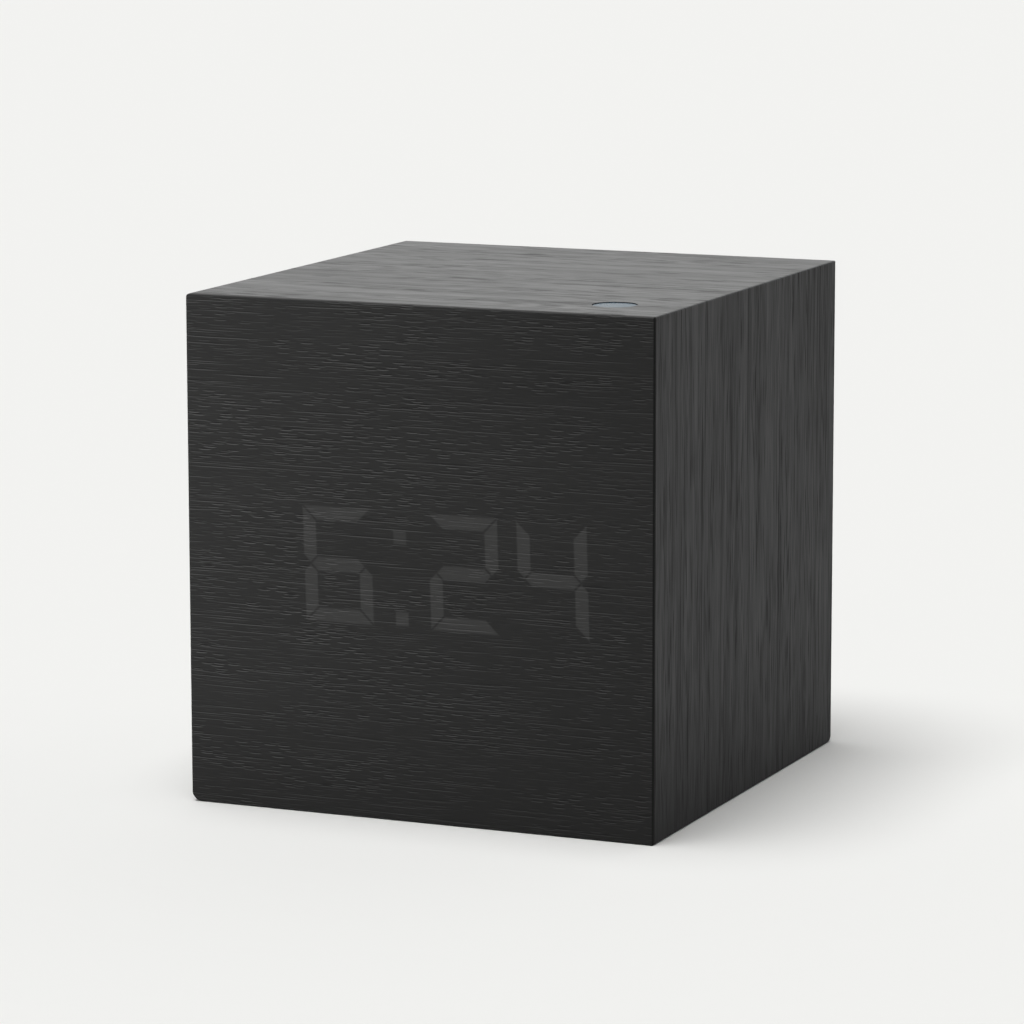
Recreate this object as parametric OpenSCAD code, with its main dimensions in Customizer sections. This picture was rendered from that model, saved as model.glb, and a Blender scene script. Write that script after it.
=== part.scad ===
// Cube alarm clock: a black wood-veneer box whose time shines through the front.
// Origin at the middle of the base, +Z up, front towards -Y, sizes in millimetres.

/* [Case] */
// Width of the case across the front
case_w = 66; // [64.5:0.5:90]
// Depth of the case from front to rear
case_d = 68; // [58:0.5:100]
// Height of the case
case_h = 68; // [66:0.5:90]
// Thickness of the wood veneer
veneer_t = 0.6; // [0.5:0.1:0.9]
// Thickness of the four folded fibreboards
board_t = 4; // [3.6:0.1:4.4]
// Thickness of the front fibreboard that the display sits in
front_board_t = 4.6; // [4:0.1:8]
// Radius of the crisp folds and cut edges
edge_r = 0.3; // [0.2:0.1:0.8]
// Radius of the fuller fold along the top left
top_left_r = 0.8; // [0.2:0.1:1.6]
// Radius of the fuller fold along the bottom left
bottom_left_r = 1.7; // [0.2:0.1:1.7]
// Radius of the sanded edge along the bottom rear
bottom_rear_r = 1.6; // [0.2:0.1:1.6]
// Side of the glue blocks in the top rear corners
corner_block_w = 7; // [6:0.1:7.4]
// Length of the glue blocks
corner_block_l = 9; // [8:0.5:20]

/* [Light sensor] */
// Distance of the lens centre from the inner faces of the right and front boards
sensor_inset = 4.9; // [4.6:0.1:12]
// Diameter of the lens hole in the top
lens_hole_d = 5.9; // [4:0.1:7]
// Depth of the lens face below the top
lens_sink = 0.1; // [0.1:0.05:1]
// Diameter of the lens flange under the top board
lens_flange_d = 8.4; // [7.6:0.1:8.8]
// Thickness of the lens flange
lens_flange_t = 1; // [0.6:0.1:1.6]
// Length of the sensor holder from the lens centre to its free end
holder_arm = 11.5; // [11:0.1:16]
// Thickness of the sensor holder
holder_t = 2.4; // [2:0.1:4]
// Diameter of the light window in the holder
holder_window_d = 4; // [3.6:0.1:5]
// Thickness of the sensor board
sensor_board_t = 1.2; // [0.8:0.1:1.6]
// Distance from the lens centre to the sensor screws
sensor_screw_arm = 8.5; // [8:0.1:9]
// Spacing of the two sensor screws
sensor_screw_pitch = 4.4; // [4:0.1:4.6]

/* [Display] */
// Place of the colon across the front, from the middle
display_x = -2.2; // [-4:0.1:-1.5]
// Height of the digits' middle above the base
display_z = 33.4; // [26:0.1:38]
// Width of a digit
digit_w = 9.7; // [8:0.1:10.4]
// Height of a digit
digit_h = 15.2; // [12:0.1:18]
// Width of a lit stroke
stroke_w = 1.8; // [1.2:0.1:2.4]
// Gap between neighbouring strokes
stroke_gap = 0.27; // [0.2:0.01:0.5]
// Lean of the digits to the left
lean_deg = 1.7; // [0:0.1:6]
// Spacing of neighbouring digits
digit_pitch = 12.4; // [11.6:0.1:12.8]
// Spacing of the digits on either side of the colon
colon_pitch = 17.9; // [16:0.1:18.8]
// Side of a colon dot
colon_w = 1.8; // [1.2:0.1:2.4]
// Height of the upper dot above the digits' middle
colon_up = 4.2; // [3:0.1:6]
// Depth of the lower dot below the digits' middle
colon_down = 6.5; // [4:0.1:6.6]
// Thickness of the diffuser film
diffuser_t = 0.2; // [0.1:0.05:0.5]
// Margin of the reflector round the digits
reflector_margin = 1.6; // [1:0.1:2.2]
// Height of a light-emitting chip
chip_h = 0.3; // [0.2:0.1:0.6]
// Strip of the display board above and below the reflector
display_strip = 6; // [5:0.1:7]
// Width of the ribbon cable
ribbon_w = 12.7; // [8:0.1:16]
// Thickness of the ribbon cable
ribbon_t = 0.9; // [0.6:0.1:1.2]
// Place of the ribbon across the clock
ribbon_x = -6; // [-9:0.5:-4]

/* [Rear panel] */
// Depth of the panel's face inside the rear edge
rear_recess = 1; // [0.9:0.1:4]
// Thickness of the panel
panel_t = 2.4; // [2.2:0.1:3]
// Clearance round the panel
panel_gap = 0.25; // [0.1:0.05:0.4]
// Width of each tongue under the panel
tongue_w = 8; // [4:0.5:14]
// Thickness of the tongues
tongue_t = 1.2; // [0.8:0.1:1.6]
// Reach of the tongues into the base board
tongue_drop = 1.2; // [0.8:0.1:1.8]
// Spacing of the two tongues
tongue_pitch = 36; // [20:1:40]

/* [Battery bay] */
// Diameter of a cell
cell_d = 10.5; // [10:0.1:10.6]
// Length of a cell with its nub
cell_l = 44.5; // [43:0.1:45]
// Gap between neighbouring cells
cell_gap = 0.4; // [0.2:0.1:0.8]
// Wall of the bay
bay_wall = 1.2; // [0.8:0.1:1.4]
// Pressed length of a contact spring
spring_l = 4.6; // [4.2:0.1:5]
// Wire of a contact spring
spring_wire = 0.6; // [0.4:0.1:0.7]
// Turns of a contact spring
spring_turns = 3; // [2:0.5:3]
// Thickness of the contact plates
contact_t = 0.4; // [0.2:0.1:0.6]
// Thickness of the battery door
door_t = 1.6; // [1.2:0.1:1.8]
// Lap of the door over the bay's walls
door_lap = 1; // [0.6:0.1:1.1]
// Clearance round the door
door_gap = 0.25; // [0.15:0.05:0.4]
// Radius of the hinge barrel
hinge_r = 1.3; // [1.1:0.1:1.5]
// Diameter of the hinge pins
hinge_pin_d = 1.4; // [1:0.1:1.6]
// Width of each hinge knuckle
knuckle_w = 4; // [3:0.5:8]

/* [Controls] */
// Height of the control row below the top board
row_drop = 6.2; // [5.8:0.1:6.6]
// Spacing of the buttons
button_pitch = 8.4; // [7.8:0.1:8.6]
// Diameter of a button cap
button_d = 5.8; // [4.4:0.1:6.2]
// Height of a button cap above the panel
button_proud = 0.8; // [0.4:0.1:0.9]
// Travel of a button
button_travel = 0.4; // [0.2:0.05:0.5]
// Radial clearance of a button cap in the panel
button_gap = 0.2; // [0.1:0.05:0.3]
// Thickness of the flange that keeps a cap behind the panel
button_flange_t = 0.8; // [0.6:0.1:1.2]
// Side of a push switch
switch_w = 4.5; // [4:0.1:5]
// Height of a push switch's housing
switch_h = 3.2; // [3:0.1:4]
// Rise of a push switch's plunger above its housing
plunger_rise = 1.6; // [1:0.1:2]
// Diameter of a plunger
plunger_d = 2.6; // [2:0.1:3]
// Place of the sound switch across the panel
sound_switch_x = 16.6; // [16.2:0.1:16.8]
// Travel of the sound switch's knob
sound_travel = 2.4; // [1.5:0.1:3]
// Place of the power socket across the panel
socket_x = -16.6; // [-16.8:0.1:-16.2]
// Bore of the power socket
socket_bore_d = 3.8; // [3:0.1:4.4]
// Depth of the power socket's bore
socket_depth = 8.5; // [7:0.1:9]
// Diameter of the power socket's centre pin
socket_pin_d = 1.3; // [0.8:0.1:1.6]
// Diameter of the buzzer
buzzer_d = 8; // [6:0.1:8.5]
// Height of the buzzer
buzzer_h = 4; // [3:0.1:4.2]
// Diameter of the microphone
microphone_d = 6; // [4:0.1:6.6]

/* [Circuit board and screws] */
// Thickness of the circuit boards
pcb_t = 1.6; // [1:0.1:2]
// Diameter of the screws
screw_d = 2; // [1.6:0.1:2.2]
// Diameter of the screw heads
screw_head_d = 3.6; // [3.2:0.1:3.8]
// Height of the screw heads
screw_head_h = 1.2; // [0.9:0.1:1.3]
// Reach of a screw into a fibreboard
wood_bite = 3; // [2:0.1:3]
// Reach of a screw into a glue block or a boss
boss_bite = 4; // [3:0.1:4.4]

/* [Hidden] */
$fn = 48;

// Colours
veneer_colour = "#2b2a2a";
fibreboard_colour = "#8a6a48";
plastic_colour = "#1c1c1e";
pcb_colour = "#2f6b3c";
steel_colour = "#b9bcc0";
brass_colour = "#c9a64e";
lens_colour = "#2b3a52";
glow_colour = "#f2f1ea";
cell_colour = "#5d7f95";
wire_colour = "#7a1f1f";

// Cuts run past the faces that they open
past = 1;
// Clearance of a press or glue fit
snug = 0.05;
// Clearance of a sliding fit
slide_gap = 0.2;
// Clearance of a loose hole round a screw
screw_gap = 0.2;

// Case faces, outside to inside
face_x = case_w / 2;
face_y = case_d / 2;
skin_x = face_x - veneer_t;
skin_z0 = veneer_t;
skin_z1 = case_h - veneer_t;
skin_y0 = veneer_t - face_y;
in_x = skin_x - board_t;
in_z0 = skin_z0 + board_t;
in_z1 = skin_z1 - board_t;
in_y0 = skin_y0 + front_board_t;

// Light sensor under the top
lens_x = in_x - sensor_inset;
lens_y = in_y0 + sensor_inset;
lens_gap = 0.06;
lens_d = lens_hole_d - 2 * lens_gap;
lens_crown = 0.06;
holder_z0 = in_z1 - holder_t;
holder_r = lens_flange_d / 2;
sensor_board_z0 = holder_z0 - sensor_board_t;
sensor_screw_x = lens_x - sensor_screw_arm;
sensor_chip = [2.6, 2, 1.1];
sensor_dome_d = 1.4;

// Seven-stroke digits, in each digit's own middle
half_w = digit_w / 2;
half_h = digit_h / 2;
mitre_gap = stroke_gap / sqrt(2);
lean = tan(lean_deg);
lean_reach = lean * half_h;
hour_x = display_x - colon_pitch / 2;
ten_x = display_x + colon_pitch / 2;
minute_x = ten_x + digit_pitch;
lead_x = hour_x - digit_pitch;
reflector_x0 = lead_x + half_w - stroke_w - lean_reach - reflector_margin;
reflector_x1 = minute_x + half_w + lean_reach + reflector_margin;
reflector_half_h = half_h + reflector_margin;
reflector_y0 = skin_y0 + diffuser_t;
chip_room = 2 * chip_h;
chip_l = 0.8;
chip_w = 0.4;
display_side = 1.5;
display_x0 = reflector_x0 - display_side;
display_x1 = reflector_x1 + display_side;
display_half_h = reflector_half_h + display_strip;
display_screw_z = reflector_half_h + display_strip / 2;
display_screw_in = 5;
display_y1 = in_y0 + pcb_t;

// Rear panel, battery door and bay
panel_y1 = face_y - rear_recess;
panel_y0 = panel_y1 - panel_t;
panel_x = in_x - panel_gap;
panel_z0 = in_z0 + panel_gap;
panel_z1 = in_z1 - panel_gap;
panel_corner_r = 1;
tongue_y0 = panel_y1 - panel_t / 2 - tongue_t / 2;
kerf_gap = 0.15;
kerf_deeper = 0.4;
rail_h = 1.6;
hinge_gap = 0.3;
hinge_pin_gap = 0.08;
knuckle_gap = 0.3;
opening_z0 = panel_z0 + rail_h;
hinge_y = panel_y1 - hinge_r;
hinge_z = opening_z0 + hinge_gap + hinge_r;
door_y0 = panel_y1 - door_t;
door_z0 = hinge_z + hinge_r + hinge_gap;
cell_count = 3;
cell_play = 0.3;
bay_x = (cell_l + spring_l) / 2 + contact_t;
bay_z0 = door_z0 + bay_wall;
bay_z1 = bay_z0 + cell_count * cell_d + (cell_count - 1) * cell_gap + 2 * cell_play;
bay_top = bay_z1 + bay_wall;
bay_outer_x = bay_x + bay_wall;
cell_y = door_y0 - cell_play - cell_d / 2;
cell_z0 = bay_z0 + cell_play + cell_d / 2;
cell_pitch = cell_d + cell_gap;
bay_y0 = cell_y - cell_d / 2 - cell_play;
door_x = bay_x + door_lap;
door_z1 = bay_z1 + door_lap;
opening_x = door_x + door_gap;
opening_z1 = door_z1 + door_gap;
knuckle_x = opening_x - knuckle_w;
barrel_x = knuckle_x - knuckle_gap;
pin_reach = 2.4;
pin_x = barrel_x + knuckle_gap + pin_reach;
trough_wall = 1;
trough_y1 = hinge_y - hinge_r - hinge_gap;
trough_y0 = trough_y1 - trough_wall;
scoop_d = 10;
scoop_depth = 1;
latch_w = 9;
latch_l = 9;
latch_slit = 0.8;
grip_w = 6;
grip_h = 0.8;
grip_pitch = 1.8;
grip_count = 3;
grip_proud = 0.4;

// Cells, springs and contacts
cradle_x = 13;
cradle_t = 1.2;
cradle_rise = 3;
nub_d = 3.8;
nub_h = 1;
cell_shoulder = 0.5;
cell_foot = 0.3;
crimp_depth = 0.25;
crimp_w = 0.8;
crimp_from_top = 1.6;
plate_w = 8;
tag_w = 2;
tag_out = 1;
tag_gap = 0.1;
spring_base_d = 7;
spring_tip_d = 5.2;
spring_sides = 6;
rings_per_turn = 8;

// Circuit board behind the panel
board_y1 = panel_y0 - button_flange_t - plunger_rise - switch_h;
board_y0 = board_y1 - pcb_t;
board_gap = 0.45;
board_z0 = bay_top + board_gap;
board_top_gap = 1;
board_z1 = in_z1 - board_top_gap;
block_gap = 0.5;
board_upper_x = in_x - corner_block_w - block_gap;
board_step_z = in_z1 - corner_block_w - block_gap;
board_lower_x = bay_outer_x - block_gap;
boss_d = 4.6;
boss_in = 3.1;
boss_up = 4.2;
boss_x = board_lower_x - boss_in;
boss_z = board_z0 + boss_up;
post_d = 2.4;
post_up = 3.9;
row_z = in_z1 - row_drop;
post_z = row_z + post_up;
block_screw_x = in_x - corner_block_w / 2;
block_screw_z = in_z1 - corner_block_w / 2;
head_sink = 0.1;
head_recess = screw_head_h + head_sink;
head_recess_gap = 0.3;
pilot_deeper = 0.4;
screw_slot_w = 0.5;
screw_slot_deep = 0.6;
screw_rim = 0.5;
screw_crown = 0.7;

// Controls
flange_lip = 0.7;
button_flange_d = button_d + 2 * button_gap + 2 * flange_lip;
button_edge_r = 0.4;
plunger_gap = 0.1;
plunger_in = 1.2;
plunger_room = 0.2;
plunger_pocket = plunger_in + button_travel + plunger_room;
knob_w = 2.4;
knob_h = 2.4;
knob_stem_w = 2;
knob_stem_h = 1.6;
knob_proud = 0.6;
knob_stem_in = 1.2;
knob_lift = 0.6;
knob_gap = 0.3;
knob_slot_l = knob_w + sound_travel + 2 * knob_gap;
knob_slot_h = knob_h + 2 * knob_gap;
stem_slot_l = knob_stem_w + sound_travel + 2 * slide_gap;
stem_slot_h = knob_stem_h + 2 * slide_gap;
stem_slot_deep = knob_stem_in + slide_gap;
knob_groove = 0.3;
slider_l = 8;
slider_w = 3.6;
slider_h = 3.4;
socket_w = 7;
socket_l = 7.6;
collar_d = 6.4;
socket_mouth = 0.3;
pin_sink = 1.5;
buzzer_x = 13.5;
buzzer_z = board_z0 + buzzer_d / 2;
buzzer_port_d = 1.8;
sound_hole_d = 1.2;
sound_ring_r = 2.4;
sound_hole_count = 6;
microphone_x = -13;
microphone_z = board_z0 + microphone_d / 2;
microphone_h = 2.7;
microphone_felt_d = 4;
microphone_felt_sink = 0.2;
microphone_hole_d = 1.2;

// Parts on the inner face of the circuit board
header_h = 5;
header_l = 6;
header_side = 1.3;
ribbon_in = 3;
header_up = 5.6;
board_header_z = board_z0 + header_up;
display_header_z = display_z + display_screw_z;
ribbon_steps = 16;
chip_x = 7.5;
chip_up = 5.6;
chip_z = board_z0 + chip_up;
chip_body = [10.4, 2.2, 7.4];
leg_count = 8;
leg_pitch = 1.27;
leg_w = 0.4;
leg_t = 0.25;
leg_out = 1.3;
leg_knee = 1.1;
crystal_x = 0;
crystal_up = 1.6;
crystal_z = row_z + crystal_up;
crystal_l = 11;
crystal_w = 4.6;
crystal_h = 3.4;
crystal_foot = 0.5;
crystal_lip = 0.4;
capacitor_x = 17;
capacitor_up = 4.6;
capacitor_z = board_z0 + capacitor_up;
capacitor_d = 6.3;
capacitor_h = 7.6;
capacitor_groove = 0.3;
capacitor_groove_z = 1.4;

// Routes of the wires: straight out of one joint, then back to the circuit board
lead_d = 1.2;
lead_sides = 8;
lead_steps = 4;
lead_run_x = (bay_outer_x + in_x) / 2;
lead_up = 1.6;
lead_z = board_z0 + lead_up;
lead_pad_out = 1;
lead_rise = 2;
lead_bend = 3;
solder_gap = 0.15;
sensor_pad_x = 4;
sensor_pad_y = 2;
sensor_lead_x = 14;
sensor_lead_up = 2;
sensor_sag = 4;
sensor_run = 14;
board_run = 16;
lead_tail = 6;
sensor_lead_start = [lens_x - sensor_pad_x, lens_y + sensor_pad_y, sensor_board_z0 - solder_gap];
sensor_lead_end = [sensor_lead_x, board_y0 - solder_gap, row_z + sensor_lead_up];
sensor_lead_route = [
    sensor_lead_start,
    sensor_lead_start - [0, 0, lead_rise],
    sensor_lead_start + [0, sensor_sag, -sensor_sag],
    sensor_lead_start + [0, sensor_run, -sensor_sag],
    sensor_lead_end + [lead_rise, -board_run, -lead_bend],
    sensor_lead_end - [0, lead_tail, 0],
    sensor_lead_end
];

// Blocks, rods and slabs between named faces
module block(low, high) {
    translate(low) cube(high - low);
}

module rod_x(x0, x1, y, z, d) {
    translate([x0, y, z]) rotate([0, 90, 0]) cylinder(h = x1 - x0, d = d);
}

module rod_y(y0, y1, x, z, d) {
    translate([x, y0, z]) rotate([-90, 0, 0]) cylinder(h = y1 - y0, d = d);
}

module rod_z(z0, z1, x, y, d) {
    translate([x, y, z0]) cylinder(h = z1 - z0, d = d);
}

// An outline in X and Z, thick from y0 to y1
module slab_y(y0, y1) {
    translate([0, y1, 0]) rotate([90, 0, 0]) linear_extrude(y1 - y0) children();
}

// An outline in Y and Z, thick from x0 to x1
module slab_x(x0, x1) {
    translate([x0, 0, 0]) rotate([90, 0, 90]) linear_extrude(x1 - x0) children();
}

// A rectangle about the middle with round corners
module rounded(w, h, r) {
    square([w - 2 * r, h], center = true);
    square([w, h - 2 * r], center = true);
    for (sx = [-1, 1], sy = [-1, 1])
        translate([sx * (w / 2 - r), sy * (h / 2 - r)]) circle(r);
}

// A wall's outline standing on zero, with a radius at each corner: top left, top right, low right, low left
module wall_outline(w, h, tl, tr, lr, ll) {
    polygon([
        [-w / 2, ll],
        [ll - w / 2, 0],
        [w / 2 - lr, 0],
        [w / 2, lr],
        [w / 2, h - tr],
        [w / 2 - tr, h],
        [tl - w / 2, h],
        [-w / 2, h - tl]
    ]);
    translate([tl - w / 2, h - tl]) circle(tl);
    translate([w / 2 - tr, h - tr]) circle(tr);
    translate([w / 2 - lr, lr]) circle(lr);
    translate([ll - w / 2, ll]) circle(ll);
}

// The whole cube with its softened edges
module case_form() {
    intersection() {
        slab_y(-face_y, face_y) wall_outline(case_w, case_h, top_left_r, edge_r, edge_r, bottom_left_r);
        slab_x(-face_x, face_x) wall_outline(case_d, case_h, edge_r, edge_r, bottom_rear_r, edge_r);
        linear_extrude(case_h) rounded(case_w, case_d, edge_r);
    }
}

// Mitred strips in X and Z between an outer and an inner rectangle
function strip_top(x_out, z_out, x_in, z_in) =
    [[-x_out, z_out], [x_out, z_out], [x_in, z_in], [-x_in, z_in]];
function strip_side(side, x_out, z_low, z_high, x_in, z_in_low, z_in_high) =
    [[side * x_out, z_low], [side * x_out, z_high], [side * x_in, z_in_high], [side * x_in, z_in_low]];

module veneer_sheet(strip) {
    color(veneer_colour) intersection() {
        case_form();
        slab_y(skin_y0, face_y + past) polygon(strip);
    }
}

module fibreboard(strip) {
    intersection() {
        case_form();
        slab_y(skin_y0, face_y) polygon(strip);
    }
}

// A pan-head screw pointing up, its head's seat at zero
module screw(length) {
    difference() {
        union() {
            cylinder(h = length, d = screw_d);
            rotate([180, 0, 0]) rotate_extrude() polygon([
                [0, 0],
                [screw_head_d / 2, 0],
                [screw_head_d / 2, screw_rim * screw_head_h],
                [screw_crown * screw_head_d / 2, screw_head_h],
                [0, screw_head_h]
            ]);
        }
        for (turn = [0, 90])
            rotate([0, 0, turn])
                translate([-screw_head_d / 3, -screw_slot_w / 2, -screw_head_h - past])
                    cube([2 * screw_head_d / 3, screw_slot_w, past + screw_slot_deep]);
    }
}

// Tubes swept along a smooth route, each ring square to the way ahead and not twisted from the last
function unit(v) = v / norm(v);
function blend(a, b, c, d, t) =
    0.5 * (2 * b + (c - a) * t + (2 * a - 5 * b + 4 * c - d) * t * t + (3 * b - a - 3 * c + d) * t * t * t);
function smooth(p, steps) = concat(
    [for (i = [0:len(p) - 2], s = [0:steps - 1])
        blend(p[max(i - 1, 0)], p[i], p[i + 1], p[min(i + 2, len(p) - 1)], s / steps)],
    [p[len(p) - 1]]
);
function heading(path, i) = unit(path[min(i + 1, len(path) - 1)] - path[max(i - 1, 0)]);
function square_to(v, ahead) = unit(v - (v * ahead) * ahead);
function carried(path, level) = [
    for (i = 0, up = square_to(level, heading(path, 0)); i < len(path);
        i = i + 1, up = square_to(up, heading(path, min(i, len(path) - 1)))) up
];
function ring(centre, ahead, up, r, sides) =
    let (across = cross(up, ahead))
    [for (k = [0:sides - 1]) centre + r * (cos(360 * k / sides) * across + sin(360 * k / sides) * up)];

module tube(path, d, sides, level) {
    last = len(path) - 1;
    ups = carried(path, level);
    points = [for (i = [0:last]) each ring(path[i], heading(path, i), ups[i], d / 2, sides)];
    walls = [for (i = [0:last - 1], k = [0:sides - 1])
        let (a = i * sides + k, b = i * sides + (k + 1) % sides)
        each [[a, b + sides, b], [a, a + sides, b + sides]]];
    first_cap = [for (k = [1:sides - 2]) [0, k, k + 1]];
    end_cap = [for (k = [1:sides - 2]) [last * sides, last * sides + k + 1, last * sides + k]];
    polyhedron(points, concat(walls, first_cap, end_cap));
}

// Case
module front_veneer() {
    color(veneer_colour) intersection() {
        case_form();
        block([-face_x, -face_y, 0], [face_x, skin_y0, case_h]);
    }
}

module top_veneer() {
    color(veneer_colour) difference() {
        veneer_sheet(strip_top(face_x + past, case_h + past, skin_x, skin_z1));
        rod_z(in_z1, case_h + past, lens_x, lens_y, lens_hole_d);
    }
}

module side_veneer(side) {
    veneer_sheet(strip_side(side, face_x + past, -past, case_h + past, skin_x, skin_z0, skin_z1));
}

module left_veneer() {
    side_veneer(-1);
}

module right_veneer() {
    side_veneer(1);
}

module base_veneer() {
    veneer_sheet(strip_top(face_x + past, -past, skin_x, skin_z0));
}

module front_board() {
    color(fibreboard_colour) difference() {
        block([-in_x, skin_y0, in_z0], [in_x, in_y0, in_z1]);
        block(
            [reflector_x0 - slide_gap, skin_y0 - past, display_z - reflector_half_h - slide_gap],
            [reflector_x1 + slide_gap, in_y0 + past, display_z + reflector_half_h + slide_gap]
        );
        display_screw_places()
            rod_y(in_y0 - wood_bite - pilot_deeper, in_y0 + past, 0, 0, screw_d + 2 * snug);
    }
}

module top_board() {
    color(fibreboard_colour) difference() {
        fibreboard(strip_top(skin_x, skin_z1, in_x, in_z1));
        rod_z(in_z1 - past, case_h, lens_x, lens_y, lens_hole_d);
        rod_z(in_z1 - past, in_z1 + lens_flange_t, lens_x, lens_y, lens_flange_d + 2 * lens_gap);
        sensor_screw_places()
            rod_z(in_z1 - past, in_z1 + wood_bite + pilot_deeper, 0, 0, screw_d + 2 * snug);
    }
}

module side_board(side) {
    color(fibreboard_colour)
        fibreboard(strip_side(side, skin_x, skin_z0, skin_z1, in_x, in_z0, in_z1));
}

module left_board() {
    side_board(-1);
}

module right_board() {
    side_board(1);
}

module base_board() {
    color(fibreboard_colour) difference() {
        fibreboard(strip_top(skin_x, skin_z0, in_x, in_z0));
        block(
            [-face_x, tongue_y0 - kerf_gap, in_z0 - tongue_drop - kerf_deeper],
            [face_x, tongue_y0 + tongue_t + kerf_gap, in_z0 + past]
        );
    }
}

module corner_blocks() {
    color(fibreboard_colour) for (side = [-1, 1]) difference() {
        translate([side * block_screw_x, panel_y0 - corner_block_l / 2, block_screw_z])
            cube([corner_block_w, corner_block_l, corner_block_w], center = true);
        rod_y(
            panel_y0 - boss_bite - pilot_deeper, panel_y0 + past,
            side * block_screw_x, block_screw_z, screw_d + 2 * snug
        );
    }
}

// Light sensor
module sensor_screw_places() {
    for (side = [-1, 1])
        translate([sensor_screw_x, lens_y + side * sensor_screw_pitch / 2, 0]) children();
}

module sensor_lens() {
    color(lens_colour) translate([lens_x, lens_y, in_z1]) rotate_extrude() polygon([
        [0, 0],
        [lens_flange_d / 2, 0],
        [lens_flange_d / 2, lens_flange_t],
        [lens_d / 2, lens_flange_t],
        [lens_d / 2, case_h - lens_sink - lens_crown - in_z1],
        [lens_d / 2 - lens_crown, case_h - lens_sink - in_z1],
        [0, case_h - lens_sink - in_z1]
    ]);
}

module sensor_outline() {
    translate([lens_x - holder_arm, lens_y - holder_r]) square([holder_arm, 2 * holder_r]);
    translate([lens_x, lens_y]) circle(holder_r);
}

module sensor_holder() {
    color(plastic_colour) difference() {
        translate([0, 0, holder_z0]) linear_extrude(holder_t) sensor_outline();
        rod_z(holder_z0 - past, in_z1 + past, lens_x, lens_y, holder_window_d);
        sensor_screw_places()
            rod_z(holder_z0 - past, in_z1 + past, 0, 0, screw_d + 2 * screw_gap);
    }
}

module light_sensor() {
    color(glow_colour) {
        translate([lens_x - sensor_chip[0] / 2, lens_y - sensor_chip[1] / 2, holder_z0]) cube(sensor_chip);
        translate([lens_x, lens_y, holder_z0 + sensor_chip[2]]) intersection() {
            sphere(d = sensor_dome_d);
            cylinder(h = sensor_dome_d, d = 2 * sensor_dome_d);
        }
    }
}

module sensor_board() {
    color(pcb_colour) difference() {
        translate([0, 0, sensor_board_z0]) linear_extrude(sensor_board_t) sensor_outline();
        sensor_screw_places()
            rod_z(sensor_board_z0 - past, holder_z0 + past, 0, 0, screw_d + 2 * screw_gap);
    }
}

module sensor_screws() {
    color(steel_colour) sensor_screw_places()
        translate([0, 0, sensor_board_z0]) screw(sensor_board_t + holder_t + wood_bite);
}

module sensor_lead() {
    color(plastic_colour) tube(smooth(sensor_lead_route, lead_steps), lead_d, lead_sides, [1, 0, 0]);
}

// Display
function stroke_flat(side) = [
    [mitre_gap - half_w, side * half_h],
    [half_w - mitre_gap, side * half_h],
    [half_w - stroke_w - mitre_gap, side * (half_h - stroke_w)],
    [stroke_w + mitre_gap - half_w, side * (half_h - stroke_w)]
];
function stroke_upright(sx, sz) = [
    [sx * half_w, sz * (stroke_w / 2 + mitre_gap)],
    [sx * (half_w - stroke_w / 2), sz * mitre_gap],
    [sx * (half_w - stroke_w), sz * (stroke_w / 2 + mitre_gap)],
    [sx * (half_w - stroke_w), sz * (half_h - stroke_w - mitre_gap)],
    [sx * half_w, sz * (half_h - mitre_gap)]
];
function stroke_middle() = [
    [stroke_w / 2 + mitre_gap - half_w, 0],
    [stroke_w + mitre_gap - half_w, stroke_w / 2],
    [half_w - stroke_w - mitre_gap, stroke_w / 2],
    [half_w - stroke_w / 2 - mitre_gap, 0],
    [half_w - stroke_w - mitre_gap, -stroke_w / 2],
    [stroke_w + mitre_gap - half_w, -stroke_w / 2]
];
function colon_dot(height) = [
    [-colon_w / 2, height - colon_w / 2],
    [colon_w / 2, height - colon_w / 2],
    [colon_w / 2, height + colon_w / 2],
    [-colon_w / 2, height + colon_w / 2]
];
function leaning(outline, x) = [for (p = outline) [x + p[0] - lean * p[1], display_z + p[1]]];
right_strokes = [stroke_upright(1, 1), stroke_upright(1, -1)];
left_strokes = [stroke_upright(-1, 1), stroke_upright(-1, -1)];
digit_strokes = concat(
    right_strokes, left_strokes, [stroke_flat(1), stroke_middle(), stroke_flat(-1)]
);
strokes = concat(
    [for (s = right_strokes) leaning(s, lead_x)],
    [for (x = [hour_x, ten_x, minute_x], s = digit_strokes) leaning(s, x)],
    [for (height = [colon_up, -colon_down]) leaning(colon_dot(height), display_x)]
);
function mean(values) = (values * [for (v = values) 1]) / len(values);
function middle(outline) = [mean([for (p = outline) p[0]]), mean([for (p = outline) p[1]])];

module display_screw_places() {
    for (x = [reflector_x0 + display_screw_in, reflector_x1 - display_screw_in], side = [-1, 1])
        translate([x, 0, display_z + side * display_screw_z]) children();
}

module display_diffuser() {
    color(glow_colour) block(
        [reflector_x0, skin_y0, display_z - reflector_half_h],
        [reflector_x1, reflector_y0, display_z + reflector_half_h]
    );
}

module led_reflector() {
    color("white") difference() {
        block(
            [reflector_x0, reflector_y0, display_z - reflector_half_h],
            [reflector_x1, in_y0, display_z + reflector_half_h]
        );
        for (s = strokes) slab_y(reflector_y0 - past, in_y0 + past) polygon(s);
    }
}

module led_segments() {
    color(glow_colour) for (s = strokes) slab_y(reflector_y0, in_y0 - chip_room) polygon(s);
}

module led_chips() {
    color(brass_colour) for (s = strokes)
        translate([middle(s)[0], in_y0 - chip_h / 2, middle(s)[1]])
            cube([chip_l, chip_h, chip_w], center = true);
}

module display_board() {
    color(pcb_colour) difference() {
        block(
            [display_x0, in_y0, display_z - display_half_h],
            [display_x1, display_y1, display_z + display_half_h]
        );
        display_screw_places() rod_y(in_y0 - past, display_y1 + past, 0, 0, screw_d + 2 * screw_gap);
    }
}

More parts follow.
